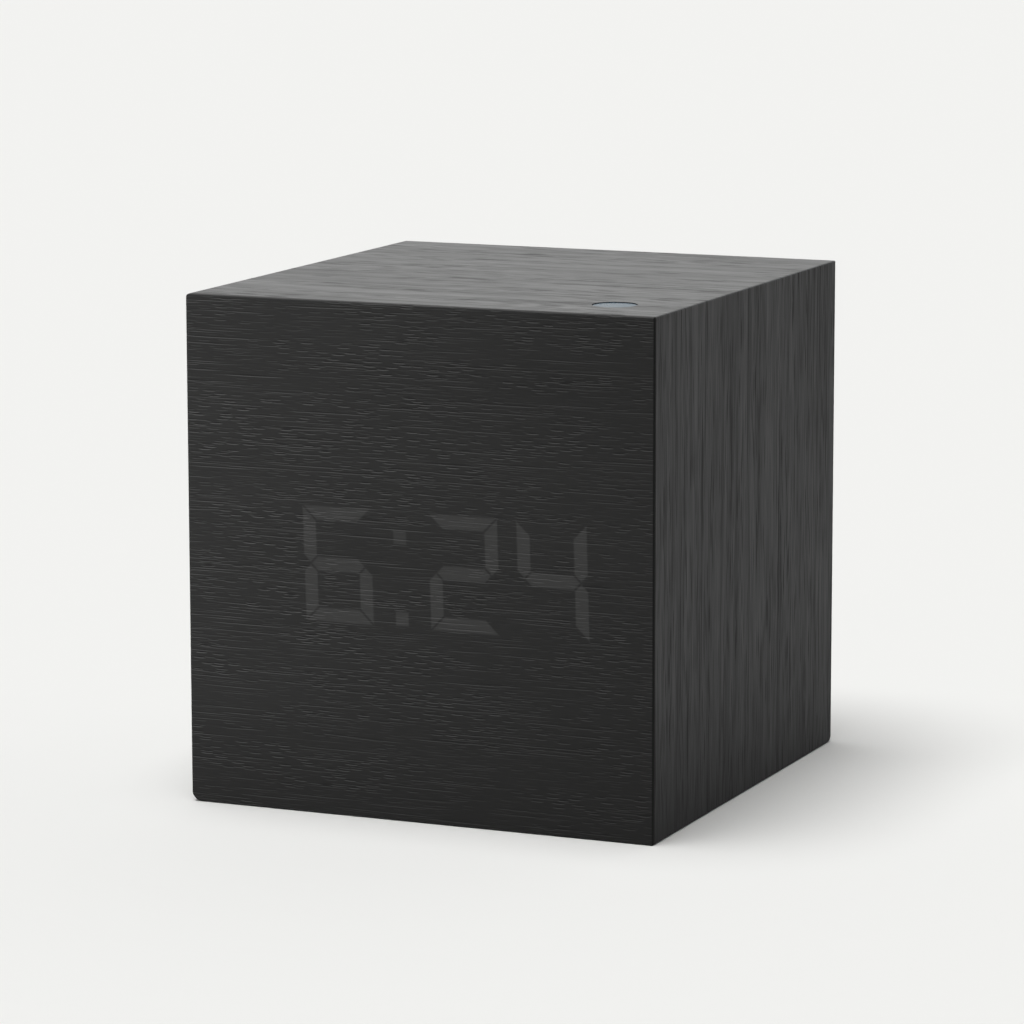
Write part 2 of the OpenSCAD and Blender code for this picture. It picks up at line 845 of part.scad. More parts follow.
module display_screws() {
    color(steel_colour) display_screw_places()
        translate([0, display_y1, 0]) rotate([90, 0, 0]) screw(pcb_t + wood_bite);
}

// A cable header standing on a board face at y, its ribbon slot at the far end
module header(y0, y1, slot_y0, slot_y1, z) {
    difference() {
        block(
            [ribbon_x - ribbon_w / 2 - header_side, y0, z - header_h / 2],
            [ribbon_x + ribbon_w / 2 + header_side, y1, z + header_h / 2]
        );
        block(
            [ribbon_x - ribbon_w / 2 - snug, slot_y0, z - ribbon_t / 2 - snug],
            [ribbon_x + ribbon_w / 2 + snug, slot_y1, z + ribbon_t / 2 + snug]
        );
    }
}

module display_header() {
    y1 = display_y1 + header_l;
    color(plastic_colour) header(display_y1, y1, y1 - ribbon_in, y1 + past, display_header_z);
}

module board_header() {
    y0 = board_y0 - header_l;
    color(plastic_colour) header(y0, board_y0, y0 - past, y0 + ribbon_in, board_header_z);
}

function bezier(a, b, c, d, t) =
    (1 - t) ^ 3 * a + 3 * (1 - t) ^ 2 * t * b + 3 * (1 - t) * t ^ 2 * c + t ^ 3 * d;

module display_ribbon() {
    start = [display_y1 + header_l, display_header_z];
    end = [board_y0 - header_l, board_header_z];
    pull = [(end[0] - start[0]) / 2, 0];
    line = concat(
        [start - [ribbon_in, 0]],
        [for (i = [0:ribbon_steps]) bezier(start, start + pull, end - pull, end, i / ribbon_steps)],
        [end + [ribbon_in, 0]]
    );
    aside = [for (i = [0:len(line) - 1])
        let (h = heading(line, i)) ribbon_t / 2 * [-h[1], h[0]]];
    edge = [for (i = [0:len(line) - 1]) line[i] + aside[i]];
    back_edge = [for (i = [len(line) - 1:-1:0]) line[i] - aside[i]];
    color("lightgrey") slab_x(ribbon_x - ribbon_w / 2, ribbon_x + ribbon_w / 2)
        polygon(concat(edge, back_edge));
}

// Rear panel with its battery bay
module sound_holes() {
    for (i = [0:sound_hole_count])
        rotate([0, i * 360 / sound_hole_count, 0])
            translate([i == sound_hole_count ? 0 : sound_ring_r, 0, 0]) children();
}

module hinge_knuckle() {
    low = [knuckle_x, trough_y0, panel_z0];
    difference() {
        union() {
            rod_x(knuckle_x, opening_x, hinge_y, hinge_z, 2 * hinge_r);
            block(low, [opening_x, panel_y1, hinge_z - hinge_r / 2]);
            block(low, [opening_x, hinge_y - hinge_r / 2, hinge_z + hinge_r / 2]);
        }
        rod_x(
            knuckle_x - past, pin_x + hinge_gap,
            hinge_y, hinge_z, hinge_pin_d + 2 * hinge_pin_gap
        );
    }
}

// A rib across the bay's floor, hollowed for the cells
module bay_cradle(x) {
    difference() {
        block(
            [x - cradle_t / 2, bay_y0 - bay_wall / 2, bay_z0 - bay_wall / 2],
            [x + cradle_t / 2, bay_y0 + cradle_rise, bay_z1 + bay_wall / 2]
        );
        for (i = [0:cell_count - 1])
            rod_x(x - cradle_t, x + cradle_t, cell_y, cell_z(i), cell_d + 2 * cell_play);
    }
}

module rear_panel() {
    color(plastic_colour) {
        difference() {
            union() {
                translate([0, 0, (panel_z0 + panel_z1) / 2])
                    slab_y(panel_y0, panel_y1)
                        rounded(2 * panel_x, panel_z1 - panel_z0, panel_corner_r);
                block(
                    [-bay_outer_x, bay_y0 - bay_wall, bay_z0 - bay_wall],
                    [bay_outer_x, panel_y1 - door_t, bay_top]
                );
                block([-opening_x, trough_y0, panel_z0], [opening_x, panel_y0, bay_z0]);
                for (side = [-1, 1]) {
                    block(
                        [side * tongue_pitch / 2 - tongue_w / 2, tongue_y0, in_z0 - tongue_drop],
                        [side * tongue_pitch / 2 + tongue_w / 2, tongue_y0 + tongue_t, panel_z0 + rail_h / 2]
                    );
                    rod_y(board_y1, panel_y0, side * boss_x, boss_z, boss_d);
                    rod_y(board_y1, panel_y0, side * button_pitch / 2, post_z, post_d);
                }
            }
            block([-bay_x, bay_y0, bay_z0], [bay_x, panel_y1 + past, bay_z1]);
            block([-opening_x, door_y0, opening_z0], [opening_x, panel_y1 + past, opening_z1]);
            block([-opening_x, trough_y1, opening_z0], [opening_x, panel_y1 + past, door_z0]);
            rod_y(panel_y1 - scoop_depth, panel_y1 + past, 0, opening_z1, scoop_d);
            for (side = [-1, 1]) {
                rod_y(
                    board_y1 - past, board_y1 + boss_bite + pilot_deeper,
                    side * boss_x, boss_z, screw_d + 2 * snug
                );
                rod_y(
                    panel_y0 - past, panel_y1 + past,
                    side * block_screw_x, block_screw_z, screw_d + 2 * screw_gap
                );
                rod_y(
                    panel_y1 - head_recess, panel_y1 + past,
                    side * block_screw_x, block_screw_z, screw_head_d + 2 * head_recess_gap
                );
            }
            for (i = [-1:1])
                rod_y(panel_y0 - past, panel_y1 + past, i * button_pitch, row_z, button_d + 2 * button_gap);
            rod_y(panel_y0 - past, panel_y1 + past, socket_x, row_z, collar_d + 2 * slide_gap);
            translate([sound_switch_x, panel_y0 + panel_t / 2, row_z])
                cube([knob_slot_l, panel_t + 2 * past, knob_slot_h], center = true);
            translate([buzzer_x, 0, buzzer_z]) sound_holes()
                rod_y(panel_y0 - past, panel_y1 + past, 0, 0, sound_hole_d);
            rod_y(panel_y0 - past, panel_y1 + past, microphone_x, microphone_z, microphone_hole_d);
            for (side = [-1, 1])
                translate([side * (bay_x + bay_wall / 2), cell_y, tag_z(side)])
                    cube([2 * bay_wall, tag_w + 2 * tag_gap, contact_t + 2 * tag_gap], center = true);
        }
        for (side = [-1, 1]) bay_cradle(side * cradle_x);
        hinge_knuckle();
        mirror([1, 0, 0]) hinge_knuckle();
    }
}

module rear_panel_screws() {
    color(steel_colour) for (side = [-1, 1])
        translate([side * block_screw_x, panel_y1 - head_recess, block_screw_z])
            rotate([90, 0, 0]) screw(panel_t - head_recess + boss_bite);
}

module battery_door() {
    color(plastic_colour) {
        slab_y(door_y0, panel_y1) difference() {
            translate([-door_x, door_z0]) square([2 * door_x, door_z1 - door_z0]);
            for (side = [-1, 1])
                translate([side * (latch_w + latch_slit) / 2 - latch_slit / 2, door_z1 - latch_l])
                    square([latch_slit, latch_l + past]);
        }
        block([-barrel_x, door_y0, hinge_z], [barrel_x, panel_y1, door_z0]);
        rod_x(-barrel_x, barrel_x, hinge_y, hinge_z, 2 * hinge_r);
        rod_x(-pin_x, pin_x, hinge_y, hinge_z, hinge_pin_d);
        for (i = [1:grip_count])
            block(
                [-grip_w / 2, panel_y1 - door_t / 2, door_z1 - i * grip_pitch - grip_h / 2],
                [grip_w / 2, panel_y1 + grip_proud, door_z1 - i * grip_pitch + grip_h / 2]
            );
    }
}

// Cells lie across the bay, each turned end for end from its neighbour
function cell_z(i) = cell_z0 + i * cell_pitch;
function cell_way(i) = i % 2 == 0 ? 1 : -1;
function tag_z(side) = side < 0 ? cell_z(0) : cell_z(cell_count - 1);

module aaa_cell() {
    body_l = cell_l - nub_h;
    crimp_z = body_l - crimp_from_top;
    rotate_extrude() polygon([
        [0, 0],
        [cell_d / 2 - cell_foot, 0],
        [cell_d / 2, cell_foot],
        [cell_d / 2, crimp_z - crimp_w / 2],
        [cell_d / 2 - crimp_depth, crimp_z],
        [cell_d / 2, crimp_z + crimp_w / 2],
        [cell_d / 2, body_l - cell_shoulder],
        [cell_d / 2 - cell_shoulder, body_l],
        [nub_d / 2, body_l],
        [nub_d / 2, cell_l],
        [0, cell_l]
    ]);
}

module at_cell_foot(i) {
    translate([cell_way(i) * (contact_t + spring_l - bay_x), cell_y, cell_z(i)])
        rotate([0, cell_way(i) * 90, 0])
            children();
}

module aaa_cells() {
    color(cell_colour) for (i = [0:cell_count - 1]) at_cell_foot(i) aaa_cell();
}

// A tapering wire coil that stands on its plate at zero and ends under the cell
spring_low = spring_wire / 2 + snug;
spring_high = spring_l - spring_wire / 2 - snug;
spring_rings = spring_turns * rings_per_turn;
function spring_point(i) =
    let (part = i / spring_rings, r = (spring_base_d + (spring_tip_d - spring_base_d) * part) / 2)
    let (turn = 360 * i / rings_per_turn)
    [r * cos(turn), r * sin(turn), spring_low + (spring_high - spring_low) * part];
spring_path = [for (i = [0:spring_rings]) spring_point(i)];
near_turn = rings_per_turn - 2;
spring_spans = [for (i = [0:spring_rings - near_turn], j = [i + near_turn:spring_rings])
    norm(spring_path[j] - spring_path[i])];
spring_self_gap = min(spring_spans) - spring_wire;

module battery_springs() {
    echo(spring_self_gap = spring_self_gap);
    color(steel_colour) for (i = [0:cell_count - 1])
        at_cell_foot(i)
            translate([0, 0, -spring_l]) tube(spring_path, spring_wire, spring_sides, [0, 0, 1]);
}

module contact_plate(side, first, last) {
    block(
        [side * (bay_x - contact_t / 2) - contact_t / 2, cell_y - plate_w / 2, cell_z(first) - plate_w / 2],
        [side * (bay_x - contact_t / 2) + contact_t / 2, cell_y + plate_w / 2, cell_z(last) + plate_w / 2]
    );
}

module contact_tag(side) {
    reach = bay_wall + tag_out;
    translate([side * (bay_x + reach / 2), cell_y, tag_z(side)])
        cube([reach, tag_w, contact_t], center = true);
}

module battery_contacts() {
    color(brass_colour) {
        contact_plate(-1, 0, 0);
        contact_tag(-1);
        contact_plate(-1, 1, 2);
        contact_plate(1, 0, 1);
        contact_plate(1, 2, 2);
        contact_tag(1);
    }
}

function battery_lead_route(side) = [
    [side * lead_run_x, cell_y, tag_z(side) + contact_t / 2 + solder_gap],
    [side * lead_run_x, cell_y, (tag_z(side) + bay_top - lead_bend) / 2],
    [side * lead_run_x, cell_y - lead_bend, bay_top - lead_bend],
    [side * lead_run_x, board_y0 - lead_bend, bay_top],
    [side * (boss_x + lead_pad_out), board_y0 - lead_bend, lead_z],
    [side * (boss_x + lead_pad_out), board_y0 - solder_gap, lead_z]
];

module battery_leads() {
    color(wire_colour) for (side = [-1, 1])
        tube(smooth(battery_lead_route(side), lead_steps), lead_d, lead_sides, [0, 1, 0]);
}

// Circuit board and what stands on it
module main_board() {
    color(pcb_colour) difference() {
        union() {
            block([-board_lower_x, board_y0, board_z0], [board_lower_x, board_y1, board_step_z]);
            block([-board_upper_x, board_y0, board_z0], [board_upper_x, board_y1, board_z1]);
        }
        for (side = [-1, 1])
            rod_y(board_y0 - past, board_y1 + past, side * boss_x, boss_z, screw_d + 2 * screw_gap);
        block(
            [socket_x - socket_w / 2 - slide_gap, board_y0 - past, row_z - socket_w / 2 - slide_gap],
            [socket_x + socket_w / 2 + slide_gap, board_y1 + past, row_z + socket_w / 2 + slide_gap]
        );
    }
}

module main_board_screws() {
    color(steel_colour) for (side = [-1, 1])
        translate([side * boss_x, board_y0, boss_z]) rotate([-90, 0, 0]) screw(pcb_t + boss_bite);
}

module controller_chip() {
    color(plastic_colour) translate([chip_x, board_y0, chip_z]) {
        translate([0, -leg_t - chip_body[1] / 2, 0]) cube(chip_body, center = true);
        for (i = [0:leg_count - 1], side = [-1, 1])
            translate([(i - (leg_count - 1) / 2) * leg_pitch, 0, side * chip_body[2] / 2]) {
                translate([-leg_w / 2, -leg_t, side < 0 ? -leg_out : 0]) cube([leg_w, leg_t, leg_out]);
                translate([-leg_w / 2, -leg_knee, side < 0 ? -leg_t : 0]) cube([leg_w, leg_knee, leg_t]);
            }
    }
}

module can_outline(l, w) {
    square([l - w, w], center = true);
    for (side = [-1, 1]) translate([side * (l - w) / 2, 0]) circle(d = w);
}

module clock_crystal() {
    color(steel_colour) translate([crystal_x, 0, crystal_z]) {
        slab_y(board_y0 - crystal_h, board_y0)
            can_outline(crystal_l - 2 * crystal_lip, crystal_w - 2 * crystal_lip);
        slab_y(board_y0 - crystal_foot, board_y0) can_outline(crystal_l, crystal_w);
    }
}

module smoothing_capacitor() {
    color(cell_colour) translate([capacitor_x, board_y0, capacitor_z])
        rotate([90, 0, 0]) rotate_extrude() polygon([
            [0, 0],
            [capacitor_d / 2, 0],
            [capacitor_d / 2, capacitor_groove_z - capacitor_groove],
            [capacitor_d / 2 - capacitor_groove, capacitor_groove_z],
            [capacitor_d / 2, capacitor_groove_z + capacitor_groove],
            [capacitor_d / 2, capacitor_h - capacitor_groove],
            [capacitor_d / 2 - capacitor_groove, capacitor_h],
            [0, capacitor_h]
        ]);
}

// Buttons: a cap behind the panel presses the plunger of a push switch
function button_x(i) = i * button_pitch;
plunger_y1 = board_y1 + switch_h + plunger_rise;

module button_cap(i) {
    shaft_r = button_d / 2;
    cap_h = button_flange_t + panel_t + button_proud;
    color(plastic_colour) translate([button_x(i), plunger_y1, row_z])
        rotate([-90, 0, 0]) rotate_extrude() {
            square([button_flange_d / 2, button_flange_t]);
            square([shaft_r, cap_h - button_edge_r]);
            square([shaft_r - button_edge_r, cap_h]);
            translate([shaft_r - button_edge_r, cap_h - button_edge_r]) circle(button_edge_r);
        }
}

module button_plunger(i) {
    color(brass_colour)
        rod_y(plunger_y1 - plunger_rise - plunger_in, plunger_y1, button_x(i), row_z, plunger_d);
}

module set_button() {
    button_cap(-1);
}

module up_button() {
    button_cap(0);
}

module down_button() {
    button_cap(1);
}

module set_plunger() {
    button_plunger(-1);
}

module up_plunger() {
    button_plunger(0);
}

module down_plunger() {
    button_plunger(1);
}

module switch_bodies() {
    color(plastic_colour) for (i = [-1:1]) difference() {
        translate([button_x(i), board_y1 + switch_h / 2, row_z])
            cube([switch_w, switch_h, switch_w], center = true);
        rod_y(
            board_y1 + switch_h - plunger_pocket, board_y1 + switch_h + past,
            button_x(i), row_z, plunger_d + 2 * plunger_gap
        );
    }
}

// Sound switch: the knob rests at the left end of its slot
knob_x = sound_switch_x - sound_travel / 2;
slider_y1 = board_y1 + slider_h;

module sound_switch_body() {
    color(steel_colour) difference() {
        translate([sound_switch_x, board_y1 + slider_h / 2, row_z])
            cube([slider_l, slider_h, slider_w], center = true);
        translate([sound_switch_x, slider_y1, row_z])
            cube([stem_slot_l, 2 * stem_slot_deep, stem_slot_h], center = true);
    }
}

module sound_switch_knob() {
    color(plastic_colour) difference() {
        union() {
            block(
                [knob_x - knob_stem_w / 2, slider_y1 - knob_stem_in, row_z - knob_stem_h / 2],
                [knob_x + knob_stem_w / 2, slider_y1 + knob_lift, row_z + knob_stem_h / 2]
            );
            block(
                [knob_x - knob_w / 2, slider_y1 + knob_lift, row_z - knob_h / 2],
                [knob_x + knob_w / 2, panel_y1 + knob_proud, row_z + knob_h / 2]
            );
        }
        for (side = [-1, 1])
            translate([knob_x + side * knob_w / 4, panel_y1 + knob_proud, row_z])
                cube([knob_groove, 2 * knob_groove, knob_h + past], center = true);
    }
}

// Power socket: a collar through the panel, a bore for the plug and a centre pin
module power_socket() {
    color(plastic_colour) difference() {
        union() {
            block(
                [socket_x - socket_w / 2, panel_y0 - socket_l, row_z - socket_w / 2],
                [socket_x + socket_w / 2, panel_y0, row_z + socket_w / 2]
            );
            rod_y(panel_y0 - past, panel_y1, socket_x, row_z, collar_d);
        }
        rod_y(panel_y1 - socket_depth, panel_y1 + past, socket_x, row_z, socket_bore_d);
        rod_y(panel_y0 - socket_l - past, panel_y1, socket_x, row_z, socket_pin_d + 2 * snug);
    }
}

module socket_pin() {
    color(brass_colour)
        rod_y(panel_y0 - socket_l, panel_y1 - pin_sink, socket_x, row_z, socket_pin_d);
}

// Sounder and microphone
module buzzer() {
    color(plastic_colour) difference() {
        rod_y(board_y1, board_y1 + buzzer_h, buzzer_x, buzzer_z, buzzer_d);
        rod_y(board_y1 + buzzer_h / 2, board_y1 + buzzer_h + past, buzzer_x, buzzer_z, buzzer_port_d);
    }
}

module microphone() {
    color(steel_colour) difference() {
        rod_y(board_y1, board_y1 + microphone_h, microphone_x, microphone_z, microphone_d);
        rod_y(
            board_y1 + microphone_h - microphone_felt_sink, board_y1 + microphone_h + past,
            microphone_x, microphone_z, microphone_felt_d
        );
    }
}

front_veneer();
top_veneer();
left_veneer();
right_veneer();
base_veneer();
front_board();
top_board();
left_board();
right_board();
base_board();
corner_blocks();
sensor_lens();
sensor_holder();
light_sensor();
sensor_board();
sensor_screws();
sensor_lead();
display_diffuser();
led_reflector();
led_segments();
led_chips();
display_board();
display_screws();
display_header();
display_ribbon();
board_header();
rear_panel();
rear_panel_screws();
battery_door();
aaa_cells();
battery_springs();
battery_contacts();
battery_leads();
main_board();
main_board_screws();
controller_chip();
clock_crystal();
smoothing_capacitor();
switch_bodies();
set_button();
up_button();
down_button();
set_plunger();
up_plunger();
down_plunger();
sound_switch_body();
sound_switch_knob();
power_socket();
socket_pin();
buzzer();
microphone();
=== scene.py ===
import math

import bmesh
import bpy
from mathutils import Matrix, Vector


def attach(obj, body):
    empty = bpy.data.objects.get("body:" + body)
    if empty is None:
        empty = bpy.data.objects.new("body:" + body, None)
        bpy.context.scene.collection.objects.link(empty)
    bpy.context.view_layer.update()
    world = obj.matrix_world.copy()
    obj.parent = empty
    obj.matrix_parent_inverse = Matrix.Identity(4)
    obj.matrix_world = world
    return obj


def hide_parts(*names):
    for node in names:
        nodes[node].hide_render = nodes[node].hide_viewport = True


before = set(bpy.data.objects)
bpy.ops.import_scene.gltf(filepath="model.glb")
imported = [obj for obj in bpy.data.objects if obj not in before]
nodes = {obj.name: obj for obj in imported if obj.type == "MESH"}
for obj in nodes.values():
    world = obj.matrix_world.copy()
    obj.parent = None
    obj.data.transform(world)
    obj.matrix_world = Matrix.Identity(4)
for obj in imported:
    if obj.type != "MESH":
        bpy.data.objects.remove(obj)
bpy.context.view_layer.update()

# Studio: a white sweep under one overhead softbox that leans a little to the front and left, with a
# pale wall behind. The camera stands where the photograph was taken from, with the same long lens.
MM = 0.001


def linear(code):
    """An sRGB hex colour as linear red, green, blue and alpha."""
    shares = [int(code[i:i + 2], 16) / 255 for i in (1, 3, 5)]
    return [c / 12.92 if c <= 0.04045 else ((c + 0.055) / 1.055) ** 2.4 for c in shares] + [1]


def add(tree, kind, *values, **named):
    """Adds one node: values feed its sockets in order, names give its settings or its sockets.

    Gives the node's first output, or the node itself where it has none.
    """
    made = tree.nodes.new(kind if "Node" in kind else "ShaderNode" + kind)
    for key, value in (*named.items(), *enumerate(values)):
        if isinstance(key, str) and key in made.bl_rna.properties:
            setattr(made, key, value)
            continue
        socket = made.inputs[key] if isinstance(key, int) else next(
            s for s in made.inputs if key in (s.identifier, s.name.replace(" ", "_")))
        if isinstance(value, bpy.types.NodeSocket):
            tree.links.new(value, socket)
        elif value is not None:
            socket.default_value = value
    return next((o for o in made.outputs if o.enabled), made)


def start_finish(name):
    """A new material with an empty tree, and that tree."""
    made = bpy.data.materials.new(name)
    made.use_nodes = True
    made.node_tree.nodes.clear()
    return made, made.node_tree


scene = bpy.context.scene
scene.view_settings.view_transform = "Standard"

# Where the camera stands: its turn round the clock, its height and its roll in degrees, then in
# millimetres how far it is from the clock's middle and how far it is moved aside and up
CAMERA_TURN, CAMERA_HEIGHT, CAMERA_ROLL = 23.367, 9.592, -0.09
CAMERA_AWAY, CAMERA_ASIDE, CAMERA_UP = 633.513, -1.104, 1.794
CLOCK_MIDDLE = Vector((0, 0, 34))
SENSOR_W, IMAGE_W, FOCAL_PIXELS = 36, 1024, 4666.6
azimuth, elevation, roll = (math.radians(d) for d in (CAMERA_TURN, CAMERA_HEIGHT, CAMERA_ROLL))
back = Vector((math.sin(azimuth) * math.cos(elevation), -math.cos(azimuth) * math.cos(elevation),
               math.sin(elevation)))
level = Vector((math.cos(azimuth), math.sin(azimuth), 0))
upward = back.cross(level)
right = math.cos(roll) * level + math.sin(roll) * upward
upward = math.cos(roll) * upward - math.sin(roll) * level
eye = CLOCK_MIDDLE + CAMERA_AWAY * back + CAMERA_ASIDE * right + CAMERA_UP * upward
camera = bpy.data.objects.new("camera", bpy.data.cameras.new("camera"))
camera.data.sensor_width = SENSOR_W
camera.data.lens = SENSOR_W * FOCAL_PIXELS / IMAGE_W
camera.data.clip_start, camera.data.clip_end = 0.01, 20
camera.matrix_world = Matrix((
    (right.x, upward.x, back.x, eye.x * MM),
    (right.y, upward.y, back.y, eye.y * MM),
    (right.z, upward.z, back.z, eye.z * MM),
    (0, 0, 0, 1),
))
scene.collection.objects.link(camera)
scene.camera = camera

FLOOR_HALF = 9
floor_mesh = bpy.data.meshes.new("floor")
floor_mesh.from_pydata([(x * FLOOR_HALF, y * FLOOR_HALF, 0) for x, y in ((-1, -1), (1, -1), (1, 1), (-1, 1))],
                       [], [(0, 1, 2, 3)])
floor = bpy.data.objects.new("floor", floor_mesh)
scene.collection.objects.link(floor)
# Rolled matt paint: an even white with no shine at all, so that only the shadow shows on it
painted, tree = start_finish("matt white paint, rolled")
add(tree, "OutputMaterial", add(tree, "BsdfPrincipled", Base_Color=linear("#ededeb"), Roughness=0.9,
                                Specular_IOR_Level=0.0))
floor_mesh.materials.append(painted)

# The wall lights the clock from behind, and faintly from all round; it is seen as plain white
BACKDROP, FROM_BEHIND, ALL_ROUND = "#f1f1ef", 0.48, 0.03
world = bpy.data.worlds.new("studio")
scene.world = world
world.use_nodes = True
tree = world.node_tree
tree.nodes.clear()
way = add(tree, "SeparateXYZ", add(tree, "TexCoord").node.outputs["Generated"]).node.outputs
behind = add(tree, "Math", way[1], 0.0, operation="MAXIMUM")
brightness = add(tree, "Math", behind, FROM_BEHIND, ALL_ROUND, operation="MULTIPLY_ADD")
rays = add(tree, "LightPath").node.outputs
seen = add(tree, "Math", rays["Is Camera Ray"], rays["Is Glossy Ray"], operation="MAXIMUM")
seen = add(tree, "Math", seen, rays["Is Transmission Ray"], operation="MAXIMUM")
walls = add(tree, "Background", linear("#ffffff"), brightness)
shown = add(tree, "Background", linear(BACKDROP), 1.0)
add(tree, "OutputWorld", add(tree, "MixShader", seen, walls, shown))

SOFTBOX_POWER, SOFTBOX_BREADTH, SOFTBOX_LEAN = 2.94, math.radians(40), Vector((-0.1, -0.155, 1))
softbox = bpy.data.objects.new("softbox", bpy.data.lights.new("softbox", "SUN"))
softbox.data.energy = SOFTBOX_POWER
softbox.data.angle = SOFTBOX_BREADTH
softbox.rotation_mode = "QUATERNION"
softbox.rotation_quaternion = SOFTBOX_LEAN.to_track_quat("Z", "Y")
scene.collection.objects.link(softbox)

# Boxwork: four fibreboards folded at mitres, a front board with the display's window, and two glue
# blocks. Medium-density fibreboard, sawn, its bare rear edges dyed black; held with white glue.


def in_mm(tree):
    """Object coordinates in millimetres, the unit in which every pattern's size is written."""
    place = add(tree, "TexCoord").node.outputs["Object"]
    return add(tree, "VectorMath", place, Scale=1 / MM, operation="SCALE")


def finish_nodes(material, *names):
    """Gives solids of the CAD model their finish."""
    for name in names:
        nodes[name].data.materials.clear()
        nodes[name].data.materials.append(material)


# Felted fibres with no grain: a dull, faintly speckled face that never shines. The tufts are drawn at
# 0.35 mm, several fibres together, so that they show.
TUFT, TUFT_HEIGHT = 0.35, 0.06
fibreboard, tree = start_finish("fibreboard, sawn and dyed black")
fuzz = add(tree, "TexNoise", in_mm(tree), Scale=1 / TUFT, Detail=4.0, Roughness=0.7)
tone = add(tree, "Mix", data_type="RGBA", Factor_Float=add(tree, "MapRange", fuzz, 0.35, 0.7),
           A_Color=linear("#171513"), B_Color=linear("#2e2b28"))
felt = add(tree, "Bump", Height=fuzz, Distance=TUFT_HEIGHT * MM, Strength=0.7)
add(tree, "OutputMaterial", add(tree, "BsdfPrincipled", Base_Color=tone, Roughness=0.85,
                                Specular_IOR_Level=0.25, Normal=felt))
finish_nodes(fibreboard, "front_board", "top_board", "left_board", "right_board", "base_board",
             "corner_blocks")

# Veneer: real oak 0.6 mm thick, glued over the boxwork with its grain across on the front, top and base
# and upright on the sides. It is stained black, brushed so that its pores stay open, and sprayed with
# satin lacquer.

# Pores gather in islands of short dashes between a few long lines, darker and duller than the wood. Along a
# level pore's lower lip, where the brushed fibres stand up, a paler grey is painted in: a painted highlight.
# On the sides and the top the pores are drawn wider apart than real ones, so that they show.
SWAY, SWAY_SIZE, BRUSHED_FIBRE, LIP_DROP = 0.7, (45, 14), (1.6, 0.09), 0.1


def stained_veneer(name, along, across, seed, stain, pore, spacing, island, between, line, drift, depth,
                   gloss, lip_highlight=None):
    """A veneer with its grain along one axis; a size is a length and a width in millimetres.

    Spacing is from pore to pore, and between how far pores show outside their islands. Line is the size
    of the long lines and drift of the slow change of tone; depth is how deep the pores are cut.
    """
    made, tree = start_finish("oak veneer, black stain, satin lacquer, " + name)
    axes = add(tree, "SeparateXYZ", in_mm(tree)).node.outputs

    def streaks(where, size, detail):
        """Noise whose blotches have the given length along the grain and width across it."""
        drawn = add(tree, "VectorMath", where, (1 / size[0], 1 / size[1], 1), operation="MULTIPLY")
        return add(tree, "TexNoise", drawn, Scale=1.0, Detail=detail, Roughness=0.55)

    flat = add(tree, "CombineXYZ", axes[along], axes[across], seed)
    sway = add(tree, "Math", streaks(flat, SWAY_SIZE, 1.0), SWAY, -SWAY / 2, operation="MULTIPLY_ADD")
    swayed = add(tree, "Math", axes[across], sway, operation="ADD")
    waved = add(tree, "CombineXYZ", axes[along], swayed, seed)
    gathered = add(tree, "MapRange", streaks(waved, island, 2.0), 0.42, 0.58, between, 1.0)

    def open_pores(where):
        """One spindle to a plot, each open by its own share and gathered in islands, and the long lines."""
        plots = add(tree, "VectorMath", where, (1 / spacing[0], 1 / spacing[1], 1), operation="MULTIPLY")
        off = add(tree, "TexVoronoi", plots, Scale=1.0, voronoi_dimensions="2D")
        each = add(tree, "MapRange", off.node.outputs["Color"], 0.3, 0.8, 0.15, 1.0)
        spindles = add(tree, "MapRange", off, 0.2, 0.36, 1.0, 0.0)
        dashes = add(tree, "Math", spindles, each, operation="MULTIPLY")
        dashes = add(tree, "Math", dashes, gathered, operation="MULTIPLY")
        lines = add(tree, "MapRange", streaks(where, line, 1.0), 0.62, 0.70, 0.0, 0.7)
        return add(tree, "Math", dashes, lines, operation="MAXIMUM")

    pores = open_pores(waved)
    slow = add(tree, "MapRange", streaks(waved, drift, 3.0), 0.3, 0.7, 0.0, 0.55)
    fine = streaks(waved, (spacing[0], spacing[1] / 3), 2.0)
    fine = add(tree, "MapRange", fine, 0.35, 0.65, 0.0, 0.45)
    taken = add(tree, "Math", slow, fine, operation="ADD")
    tone = add(tree, "Mix", data_type="RGBA", Factor_Float=taken, A_Color=linear(stain[0]),
               B_Color=linear(stain[1]))
    filled = add(tree, "Math", pores, 0.9, operation="MULTIPLY")
    tone = add(tree, "Mix", data_type="RGBA", Factor_Float=filled, A_Color=tone, B_Color=linear(pore))
    # A painted highlight: a paler grey just under each level pore, along its lower lip
    if lip_highlight:
        raised = open_pores(add(tree, "VectorMath", waved, (0, LIP_DROP, 0), operation="ADD"))
        raised = add(tree, "Math", raised, pores, operation="SUBTRACT", use_clamp=True)
        tone = add(tree, "Mix", data_type="RGBA", Factor_Float=raised, A_Color=tone, B_Color=linear(lip_highlight))
    fibre = streaks(waved, BRUSHED_FIBRE, 1.0)
    sunk = add(tree, "Math", pores, -1.0, operation="MULTIPLY")
    height = add(tree, "Math", fibre, 0.15, sunk, operation="MULTIPLY_ADD")
    cut = add(tree, "Bump", Height=height, Distance=depth * MM, Strength=1.0)
    lacquer = add(tree, "Math", slow, gloss[1], gloss[0], operation="MULTIPLY_ADD")
    dull = add(tree, "Math", pores, 0.2, lacquer, operation="MULTIPLY_ADD")
    return made, tree, axes, {"Base_Color": tone, "Roughness": dull, "Normal": cut}
